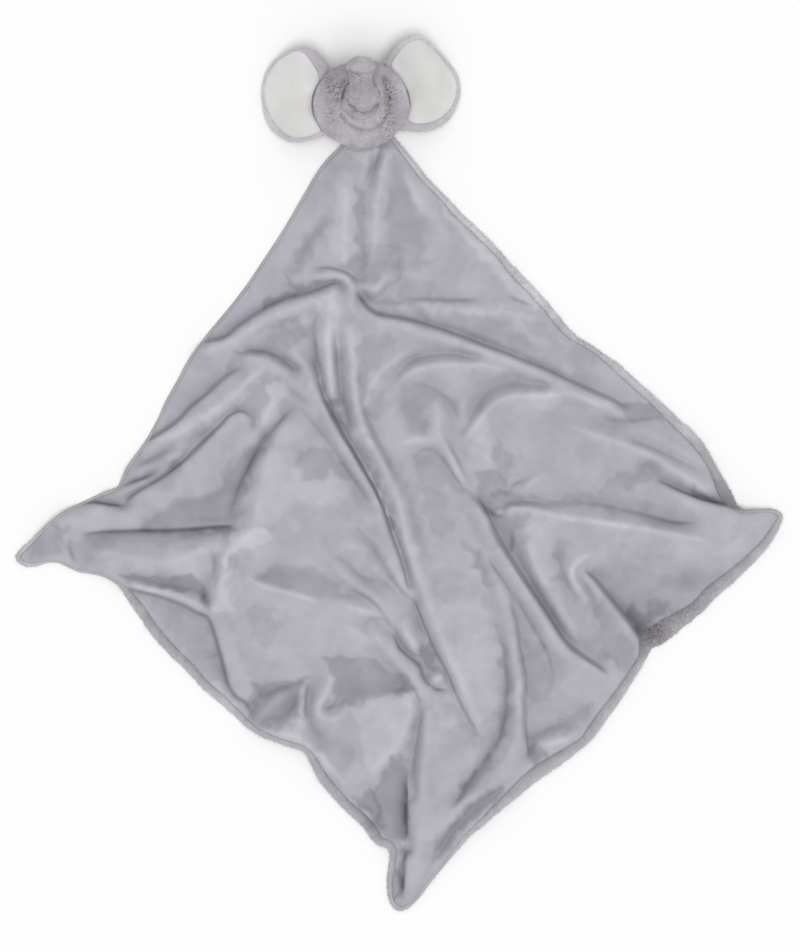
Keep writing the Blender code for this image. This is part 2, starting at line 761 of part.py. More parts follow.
def blanket_plan(seam, lines):
    """Points and triangles of the blanket seen from above, with the folds' crests as edges."""
    points = list(seam)
    edges = []

    def fits(place, room):
        if not inside(place, seam):
            return False
        return all((place - other).length > room for other in points)

    for crest, height, left, right in lines:
        last = None
        for place in walk(crest, FOLD_STEP):
            if not fits(place, POINT_ROOM):
                last = None
                continue
            points.append(place)
            if last is not None:
                edges.append((last, len(points) - 1))
            last = len(points) - 1
    for crest, height, left, right in lines:
        for a, b in zip(walk(crest, FOLD_STEP), walk(crest, FOLD_STEP)[1:]):
            out = Vector((a.y - b.y, b.x - a.x)).normalized()
            for place in ((a + b) / 2 + out * left, (a + b) / 2 - out * right):
                if fits(place, FOOT_ROOM):
                    points.append(place)
    low = Vector((min(p.x for p in seam), min(p.y for p in seam)))
    high = Vector((max(p.x for p in seam), max(p.y for p in seam)))
    row_step = OPEN_STEP * math.sqrt(0.75)
    for row in range(int((high.y - low.y) / row_step) + 1):
        for column in range(int((high.x - low.x) / OPEN_STEP) + 1):
            shift = OPEN_STEP / 2 * (row % 2)
            place = low + Vector((column * OPEN_STEP + shift, row * row_step))
            if fits(place, OPEN_STEP * OPEN_ROOM_SHARE):
                points.append(place)
    faces = [list(range(len(seam)))]
    flat, _, triangles, origins, _, _ = delaunay_2d_cdt(points, edges, faces, 1, FIT * FIT)
    places = [Vector(p) for p in flat]
    loop = [None] * len(seam)
    for index, sources in enumerate(origins):
        for source in sources:
            if source < len(seam):
                loop[source] = index
    return places, triangles, loop


def sheet_verts(bm, places, heights):
    """One surface of a cloth."""
    return [bm.verts.new((p.x, p.y, z)) for p, z in zip(places, heights)]


def make_blanket_face(plan, lifts):
    """Smooth upper cloth, up to the seam all round."""
    places, triangles, loop = plan
    bm = bmesh.new()
    low = sheet_verts(bm, places, [z + BACK_CLOTH + FIT for z in lifts])
    high = sheet_verts(bm, places, [z + FACE_TOP for z in lifts])
    for a, b, c in triangles:
        bm.faces.new((high[a], high[b], high[c]))
        bm.faces.new((low[c], low[b], low[a]))
    bridge(bm, [low[i] for i in loop], [high[i] for i in loop])
    return add_piece("blanket_face", bm, "velour")


def make_blanket_back(plan, lifts, outer, seam):
    """Plush under cloth: flat where it lies on the floor, its edge rolled up past the seam."""
    places, triangles, loop = plan
    bm = bmesh.new()
    low = sheet_verts(bm, places, lifts)
    high = sheet_verts(bm, places, [z + BACK_CLOTH for z in lifts])
    for a, b, c in triangles:
        bm.faces.new((high[a], high[b], high[c]))
        bm.faces.new((low[c], low[b], low[a]))
    crest, edge, foot = [], [], []
    for place, stitch, index in zip(outer, seam, loop):
        lift = lifts[index]
        rolled = border_rolled((place - stitch).length)
        top = stitch.lerp(place, rolled)
        crest.append(bm.verts.new((top.x, top.y, lift + FACE_TOP + BORDER_RISE * rolled)))
        edge.append(bm.verts.new((place.x, place.y, lift + FACE_TOP / 2)))
        under = place.lerp(stitch, rolled / 2)
        foot.append(bm.verts.new((under.x, under.y, lift)))
    seam_high = [high[i] for i in loop]
    seam_low = [low[i] for i in loop]
    for first, second in ((seam_high, crest), (crest, edge), (edge, foot), (foot, seam_low)):
        bridge(bm, first, second)
    return add_piece("blanket_back", bm, "plush")


def make_blanket():
    """Both cloths of the blanket on one plan, so that they follow the same folds."""
    outer, seam = rim_and_seam()
    lines = fold_lines()
    plan = blanket_plan(seam, lines)
    lifts = [max(0.0, lift_at(p, lines) - FLAT_CUT) for p in plan[0]]
    make_blanket_face(plan, lifts)
    make_blanket_back(plan, lifts, outer, seam)


def make_head(hinge):
    """Head's covers and filling, dished where the trunk turns."""
    cover = make_head_cover("head_front_cover", True, hinge)
    make_head_cover("head_back_cover", False, hinge)
    filling = make_head_filling(hinge)
    seat = make_trunk_seat()
    cut(cover, seat)
    cut(filling, seat)


def make_ears(hinge):
    """Both ears, each on its own axis along Y at the side of the head."""
    for name, side, table in (("left_ear", -1.0, LEFT_EAR_PX), ("right_ear", 1.0, RIGHT_EAR_PX)):
        place = Vector((
            HEAD_CENTRE.x + side * ear_root_gap(), HEAD_CENTRE.y, EAR_ROOT_HEIGHT,
        ))
        axis = add_pivot(name + "_axis", place, hinge)
        outline = ear_outline(table, side)
        make_ear_back(name + "_back", outline, side, axis)
        make_ear_lining(name + "_lining", outline, side, axis)


def main():
    """Build the whole comforter."""
    clear_scene()
    make_blanket()
    behind = HEAD_LENGTH / 2 * head_half(HINGE_HEIGHT) + HINGE_ROOM
    hinge = add_pivot("head_axis", Vector((HEAD_CENTRE.x, HEAD_CENTRE.y - behind, HINGE_HEIGHT)))
    make_head(hinge)
    make_ears(hinge)
    trunk_axis = add_pivot("trunk_axis", trunk_base(), hinge)
    make_trunk_cover(trunk_axis)
    make_trunk_filling(trunk_axis)


main()
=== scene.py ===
"""Looks of the comfort blanket with the elephant head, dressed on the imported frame.

The blanket lies open and rumpled. Its crests and valleys were traced on a picture taken from
straight above, so they are in pixels of that picture, with heights in millimetres, and the cloth is
the smoothest surface through them. X runs to the right, Y from the blanket's far corner to the
head, and Z up, in metres.
"""
import math

import bpy
import numpy as np
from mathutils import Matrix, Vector
from mathutils.geometry import delaunay_2d_cdt


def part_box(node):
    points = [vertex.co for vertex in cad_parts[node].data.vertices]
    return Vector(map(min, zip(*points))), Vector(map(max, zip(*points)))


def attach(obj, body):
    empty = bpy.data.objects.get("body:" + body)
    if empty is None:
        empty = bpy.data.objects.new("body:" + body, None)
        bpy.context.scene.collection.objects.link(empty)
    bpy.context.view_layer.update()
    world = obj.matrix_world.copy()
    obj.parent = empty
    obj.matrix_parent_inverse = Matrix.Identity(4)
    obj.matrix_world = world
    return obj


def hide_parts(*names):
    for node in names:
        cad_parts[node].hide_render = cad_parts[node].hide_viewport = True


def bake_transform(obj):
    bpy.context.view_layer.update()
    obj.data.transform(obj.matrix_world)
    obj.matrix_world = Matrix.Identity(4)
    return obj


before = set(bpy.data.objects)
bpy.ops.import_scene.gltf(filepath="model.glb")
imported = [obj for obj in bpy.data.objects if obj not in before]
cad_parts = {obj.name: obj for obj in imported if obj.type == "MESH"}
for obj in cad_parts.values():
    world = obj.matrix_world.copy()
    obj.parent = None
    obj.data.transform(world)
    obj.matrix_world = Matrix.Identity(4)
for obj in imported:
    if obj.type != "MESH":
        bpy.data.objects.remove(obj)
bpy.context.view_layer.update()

MM = 0.001

# Picture: the pixel over the origin, the pixels between the blanket's side corners, and its size
MIDDLE_PX = (399, 475)
CORNERS_APART_PX = 768
PICTURE_PX = (800, 952)
BLANKET_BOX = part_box("blanket_back")
PER_PX = (BLANKET_BOX[1].x - BLANKET_BOX[0].x) / CORNERS_APART_PX

# Camera, straight above the blanket
CAMERA_HEIGHT = 16.0
SENSOR_MM = 36.0
LENS_MM = SENSOR_MM * CAMERA_HEIGHT / (PICTURE_PX[1] * PER_PX)

# Blanket's cloths
FACE_CLOTH = 2.2 * MM
BACK_CLOTH = 3.8 * MM
CLOTH = FACE_CLOTH + BACK_CLOTH

# Blanket's form: how the cloth bends, pulls and sinks between the traced lines, in pixels
GRID_PX = 2
GRID_FROM_PX = (-32, 92)
GRID_SIDE = 432
BEND_REACH_PX = 2.0
SINK_REACH_PX = 42.0
LINE_PULL = 4.0
RIM_PULL = 0.25
SOLVER_PULL = 0.05
SOLVER_STEPS = 160
HEIGHT_SHARE = 1.3
ROLL_PX = 3
CREASE_MM = 0.8
CREASE_PX = 1.3
CREASE_END_PX = 16.0
# Painted highlights on crests and painted shade in valleys, taken from the relief: near and around
# smoothing in pixels, and scale in millimetres
CREST_NEAR_PX = 1.8
CREST_AROUND_PX = 8.0
CREST_SCALE_MM = 3.0
# Slight ripples of the cloth, marks near its rim, and its least heights
RIPPLE_SEED = 7
RIPPLES_PX_MM = ((46.0, 0.7), (17.0, 0.18), (8.0, 0.06))
RIPPLE_BAND = 0.45
RIPPLE_FULL_MM = 6.0
RIPPLE_LEAST = 0.35
RIM_MARK_AWAY_PX = 12.0
RIM_MARK_MM = 0.5
LEAST_EDGE_RISE = 0.2
LEAST_HEIGHT_SQUARED = 0.09
LEAST_HEIGHT_MM = 0.2

# Blanket's mesh, in pixels
MESH_STEP_PX = 2.15
UNDER_STEP_PX = 7.0
RIM_STEP_PX = 2.4
FLUFF_PX = 1.3
TUCK_ROWS_PX = (0.0, 1.2, -1.2, 2.4, -2.4, 3.8, -3.8, 5.4, -5.4)
VALLEY_ROWS_PX = (0.0, 1.5, -1.5, 3.2, -3.2)
CREST_ROWS_PX = (0.0, 2.4, -2.4)
ROW_STEP_PX = 2.2
ROW_ROOM_PX = 1.05
ROOM_SHARE = 0.62

# Blanket's rim from the neck round by the right: x, y, width of plush border that shows
RIM_PX = [
    (398, 142, 4), (410, 156, 5), (420, 168, 6), (430, 180, 6), (445, 195, 6), (460, 211, 7),
    (478, 228, 7), (499, 249, 7), (513, 265, 8), (530, 283, 8), (545, 299, 8), (556, 312, 8),
    (568, 327, 8), (580, 338, 6), (592, 345, 5), (605, 354, 6), (618, 363, 8), (630, 374, 8),
    (643, 386, 8), (656, 397, 8), (668, 408, 9), (680, 420, 9), (692, 430, 10), (702, 441, 10),
    (709, 452, 9), (715, 463, 8), (722, 475, 10), (732, 492, 13), (741, 508, 5), (760, 509, 3),
    (772, 509, 3), (781, 513, 4), (783, 518, 5), (779, 529, 7), (770, 545, 9), (757, 560, 10),
    (745, 573, 12), (730, 586, 13), (715, 599, 14), (702, 613, 14), (690, 623, 16),
    (675, 635, 20), (662, 645, 21), (652, 650, 19), (647, 658, 8), (641, 668, 8), (633, 682, 9),
    (622, 699, 10), (610, 716, 11), (597, 734, 11), (588, 744, 9), (575, 755, 11), (560, 766, 13),
    (540, 780, 14), (520, 796, 12), (500, 812, 9), (485, 825, 7), (470, 837, 5), (459, 849, 4),
    (446, 864, 3), (432, 881, 3), (420, 897, 3), (411, 906, 3), (403, 911, 4), (396, 910, 5),
    (390, 903, 4), (387, 890, 5), (387, 875, 6), (389, 860, 7), (388, 850, 9), (376, 845, 9),
    (368, 835, 11), (358, 823, 11), (345, 811, 10), (331, 796, 10), (320, 783, 10),
    (311, 766, 8), (304, 753, 6), (290, 748, 6), (270, 741, 6), (255, 734, 6), (243, 725, 7),
    (230, 713, 8), (213, 698, 9), (200, 687, 9), (188, 673, 9), (172, 658, 10), (158, 643, 10),
    (146, 628, 10), (134, 610, 10), (125, 596, 7), (117, 585, 3), (103, 577, 2), (90, 574, 2),
    (78, 572, 2), (67, 567, 2), (58, 563, 2), (48, 563, 2), (38, 566, 3), (28, 567, 4),
    (18, 563, 5), (15, 556, 5), (20, 550, 4), (30, 541, 3), (40, 531, 2), (52, 520, 2),
    (66, 510, 2), (80, 503, 2), (95, 496, 2), (107, 491, 2), (117, 487, 2), (122, 477, 2),
    (128, 465, 2), (136, 454, 2), (144, 443, 2), (151, 431, 2), (158, 418, 2), (164, 404, 2),
    (171, 391, 2), (178, 379, 2), (184, 367, 2), (191, 356, 2), (199, 345, 2), (207, 334, 2),
    (217, 322, 2), (228, 309, 2), (239, 295, 2), (250, 280, 2), (262, 262, 2), (274, 244, 2),
    (286, 225, 2), (297, 206, 2), (307, 189, 2), (317, 172, 2), (328, 158, 2), (341, 145, 2),
    (345, 135, 3), (353, 138, 3), (361, 139, 3), (370, 138, 3), (379, 134, 3), (387, 129, 3),
]

# Crests of the folds: x, y, and millimetres over the floor
CRESTS_PX = {
    "upper_left_lip": [
        (200, 352, 9), (222, 347, 13), (240, 337, 15), (262, 322, 16), (285, 311, 17),
        (308, 303, 18), (326, 296, 19), (338, 292, 19),
    ],
    "upper_right_lip": [
        (366, 322, 17), (380, 324, 19), (400, 327, 20), (420, 332, 21), (440, 338, 21),
        (460, 344, 20), (480, 351, 20), (500, 358, 20), (520, 366, 21), (540, 375, 21),
        (560, 386, 21), (580, 396, 20), (598, 405, 18), (614, 411, 15), (624, 413, 11),
    ],
    "upper_roll": [
        (310, 277, 6), (328, 276, 9), (343, 277, 11), (350, 284, 12), (353, 294, 13),
        (351, 304, 14), (356, 314, 15), (366, 322, 17),
    ],
    "wave": [(364, 284, 8), (371, 290, 9), (378, 287, 9), (384, 278, 8), (392, 274, 6)],
    "wave_right": [(405, 246, 5), (407, 262, 7), (408, 280, 5)],
    "neck_left": [(345, 178, 6), (346, 205, 9), (344, 230, 10), (343, 262, 9)],
    "neck_right": [
        (386, 150, 9), (384, 165, 10), (379, 190, 9), (376, 215, 8), (374, 245, 7), (372, 268, 4),
    ],
    "neck_wedge": [(366, 150, 8), (365, 168, 7), (363, 180, 5)],
    "neck_far_right": [(405, 166, 5), (410, 184, 6), (417, 198, 6), (424, 210, 4)],
    "upper_right_low": [(425, 305, 6), (450, 308, 7), (485, 311, 8), (496, 316, 4)],
    "short_left": [
        (331, 296, 20), (329, 320, 19), (329, 350, 18), (331, 375, 16), (332, 390, 13),
        (333, 399, 8),
    ],
    "long_middle": [
        (350, 328, 17), (352, 350, 17), (354, 370, 17), (355, 390, 17), (358, 408, 17),
        (364, 425, 18), (371, 441, 18), (379, 456, 19), (387, 472, 20), (394, 488, 20),
        (399, 505, 20), (404, 530, 20), (411, 555, 20), (420, 580, 20), (428, 602, 20),
        (438, 630, 20), (450, 656, 20), (461, 680, 19), (471, 703, 17), (479, 722, 13),
    ],
    "left_of_middle": [
        (290, 350, 12), (300, 360, 14), (309, 372, 16), (315, 386, 17), (321, 402, 18),
        (329, 418, 18), (337, 433, 18), (345, 447, 18), (352, 460, 18), (359, 473, 17),
        (366, 486, 16), (372, 497, 13), (377, 508, 9),
    ],
    "band_low": [
        (359, 525, 9), (370, 534, 10), (379, 544, 12), (387, 556, 13), (393, 568, 14),
        (400, 580, 14), (407, 591, 13), (413, 598, 11),
    ],
    "left_shoulder": [
        (240, 357, 9), (255, 358, 13), (272, 364, 14), (288, 375, 14), (301, 388, 14),
        (312, 402, 13), (320, 414, 11),
    ],
    "left_hand_run": [
        (262, 366, 11), (252, 378, 13), (238, 392, 14), (222, 405, 14), (205, 416, 13),
        (190, 427, 12), (172, 436, 10), (155, 444, 7),
    ],
    "left_inner": [(281, 386, 10), (273, 398, 12), (266, 414, 12), (258, 430, 12), (248, 446, 10)],
    "left_corner_run": [
        (220, 446, 8), (208, 456, 10), (190, 471, 12), (172, 486, 13), (158, 499, 14),
        (145, 508, 14), (128, 514, 14), (108, 515, 12), (85, 517, 11), (62, 524, 9),
        (40, 541, 6),
    ],
    "left_small": [(180, 453, 8), (160, 463, 8), (142, 470, 7), (128, 476, 5)],
    "left_loop": [(168, 470, 8), (155, 477, 8), (140, 484, 7), (126, 491, 6), (105, 497, 5)],
    "left_corner_low": [
        (120, 580, 6), (140, 586, 10), (165, 591, 12), (185, 598, 13), (200, 605, 14),
        (212, 609, 14),
    ],
    "left_overlap": [
        (220, 613, 14), (230, 637, 15), (237, 657, 15), (243, 675, 14), (251, 689, 11),
        (259, 701, 6),
    ],
    "left_corner_mid": [
        (88, 555, 6), (105, 553, 8), (132, 558, 9), (160, 562, 10), (188, 556, 11), (202, 547, 12),
    ],
    "left_blade": [(228, 548, 11), (226, 562, 13), (223, 578, 13), (220, 592, 13), (218, 604, 13)],
    "valley_side": [
        (286, 424, 9), (278, 438, 11), (270, 455, 13), (265, 472, 14), (261, 492, 14),
        (257, 510, 14), (252, 528, 14), (243, 541, 13),
    ],
    "left_belly": [
        (246, 576, 10), (258, 584, 13), (272, 589, 14), (290, 593, 14), (306, 598, 12),
        (322, 604, 9),
    ],
    "belly_right": [(335, 603, 9), (350, 607, 12), (365, 611, 12), (379, 615, 9)],
    "belly_low": [(340, 622, 10), (356, 632, 11), (373, 643, 8)],
    "lower_middle": [
        (328, 556, 8), (338, 567, 11), (349, 578, 12), (362, 589, 13), (374, 600, 13),
        (385, 612, 13), (394, 624, 12),
    ],
    "small_blob": [(366, 569, 9), (374, 567, 11), (381, 569, 9)],
    "pocket_roll": [
        (369, 626, 9), (377, 638, 11), (386, 650, 13), (396, 660, 14), (406, 671, 15),
        (414, 682, 15), (421, 696, 15),
    ],
    "pocket_floor": [(430, 682, 6), (437, 678, 8), (445, 677, 7)],
    "lower_run": [
        (428, 712, 15), (426, 735, 15), (424, 760, 15), (422, 790, 15), (420, 820, 14),
        (418, 845, 13), (415, 870, 10), (409, 892, 6),
    ],
    "lower_panel": [
        (405, 693, 11), (410, 704, 13), (408, 722, 14), (401, 738, 14), (390, 752, 13),
        (377, 766, 10), (369, 780, 8),
    ],
    "lower_panel_left": [(360, 715, 8), (358, 745, 8), (354, 775, 6)],
    "curl": [
        (322, 670, 5), (328, 671, 8), (330, 682, 9), (325, 696, 9), (319, 706, 9), (320, 716, 9),
        (332, 719, 9), (344, 714, 8), (347, 704, 6),
    ],
    "curl_left": [(303, 688, 7), (302, 702, 8), (302, 716, 8)],
    "low_left_wedge": [(286, 692, 8), (276, 700, 9), (266, 710, 9), (256, 722, 7)],
    "low_rim_left": [
        (262, 731, 5), (280, 734, 7), (297, 737, 8), (312, 748, 8), (326, 762, 8), (342, 777, 6),
    ],
    "flap_rim": [(384, 838, 4), (395, 842, 6), (405, 843, 7)],
    "middle_run": [
        (446, 485, 12), (453, 500, 13), (463, 520, 14), (474, 540, 15), (487, 560, 16),
        (496, 578, 17), (505, 598, 18), (511, 620, 19), (514, 645, 19), (518, 670, 19),
        (519, 700, 19), (519, 725, 18), (515, 745, 15), (503, 765, 12), (488, 783, 10),
        (471, 800, 8), (455, 820, 6),
    ],
    "right_of_middle": [
        (464, 491, 14), (475, 508, 16), (486, 526, 18), (498, 546, 20), (508, 561, 21),
        (519, 578, 21), (530, 596, 21), (542, 615, 21), (554, 635, 20), (565, 651, 18),
        (585, 665, 15), (604, 677, 10),
    ],
    "right_panel": [
        (529, 528, 13), (531, 550, 14), (537, 570, 14), (548, 590, 13), (562, 612, 12),
        (575, 632, 10),
    ],
    "s_wrinkle": [
        (594, 545, 9), (590, 554, 12), (580, 559, 13), (573, 567, 13), (572, 577, 13),
        (579, 589, 13), (588, 599, 12),
    ],
    "right_low": [
        (584, 573, 13), (592, 584, 15), (602, 597, 16), (615, 614, 16), (628, 632, 15),
        (639, 646, 11),
    ],
    "hook": [
        (466, 444, 10), (468, 436, 14), (476, 425, 17), (485, 413, 19), (494, 404, 20),
        (505, 398, 20), (522, 396, 20), (540, 396, 20), (562, 394, 19), (578, 397, 18),
        (592, 403, 16), (606, 409, 13),
    ],
    "hook_leg": [(484, 430, 15), (486, 445, 13), (486, 458, 10), (487, 472, 7)],
    "knee": [
        (396, 386, 11), (402, 379, 14), (412, 372, 16), (425, 367, 17), (442, 365, 17),
        (462, 365, 16), (482, 365, 15), (502, 369, 13), (520, 374, 11),
    ],
    "knee_left": [
        (414, 352, 12), (402, 355, 13), (391, 363, 15), (381, 372, 15), (372, 384, 15),
        (368, 396, 13), (368, 412, 11),
    ],
    "bar": [(395, 445, 11), (410, 441, 12), (425, 440, 14), (438, 441, 14)],
    "knob": [
        (437, 404, 14), (438, 412, 15), (438, 425, 15), (441, 437, 15), (449, 452, 15),
        (456, 468, 15), (464, 485, 12),
    ],
    "knob_right": [(459, 388, 10), (463, 403, 12), (465, 416, 11), (463, 430, 7)],
    "right_run": [
        (560, 421, 8), (575, 428, 13), (590, 433, 15), (605, 438, 16), (620, 443, 16),
        (640, 451, 16), (652, 456, 16), (665, 464, 15), (680, 473, 14), (697, 484, 11),
        (712, 495, 7),
    ],
    "right_run_upper": [(610, 428, 7), (640, 430, 9), (660, 438, 9), (680, 450, 9), (700, 464, 7)],
    "right_corner_run": [
        (495, 516, 10), (505, 511, 13), (518, 508, 15), (530, 509, 16), (546, 513, 17),
        (562, 517, 17), (600, 523, 17), (640, 528, 17), (668, 533, 15), (690, 538, 12),
        (712, 542, 9),
    ],
    "right_flap": [
        (652, 484, 8), (675, 497, 11), (695, 505, 12), (720, 510, 11), (745, 513, 9),
        (764, 516, 5),
    ],
    "small_hook": [(526, 494, 8), (527, 487, 10), (535, 480, 11), (546, 475, 8)],
    "low_right_rim": [(534, 746, 5), (547, 744, 7), (565, 740, 7), (580, 734, 5)],
    "tip_run": [(500, 781, 11), (482, 791, 12), (462, 806, 12), (446, 824, 11), (430, 848, 9)],
    "lower_strip_light": [(340, 543, 10), (352, 546, 11), (365, 548, 10)],
    "pocket_blob": [(402, 625, 12), (408, 636, 14), (414, 645, 14), (418, 652, 10)],
    "knee_left_low": [(386, 440, 11), (390, 425, 11), (390, 405, 10)],
    "hook_lobe": [(472, 441, 14), (480, 440, 14), (486, 432, 14)],
    "valley_foot": [(238, 540, 12), (250, 534, 14), (264, 531, 13)],
    "tip_rim": [(512, 792, 6), (490, 812, 7), (470, 829, 6), (450, 850, 5), (432, 871, 3)],
    "small_arc": [(288, 384, 13), (298, 392, 13), (309, 402, 13), (318, 414, 12)],
}

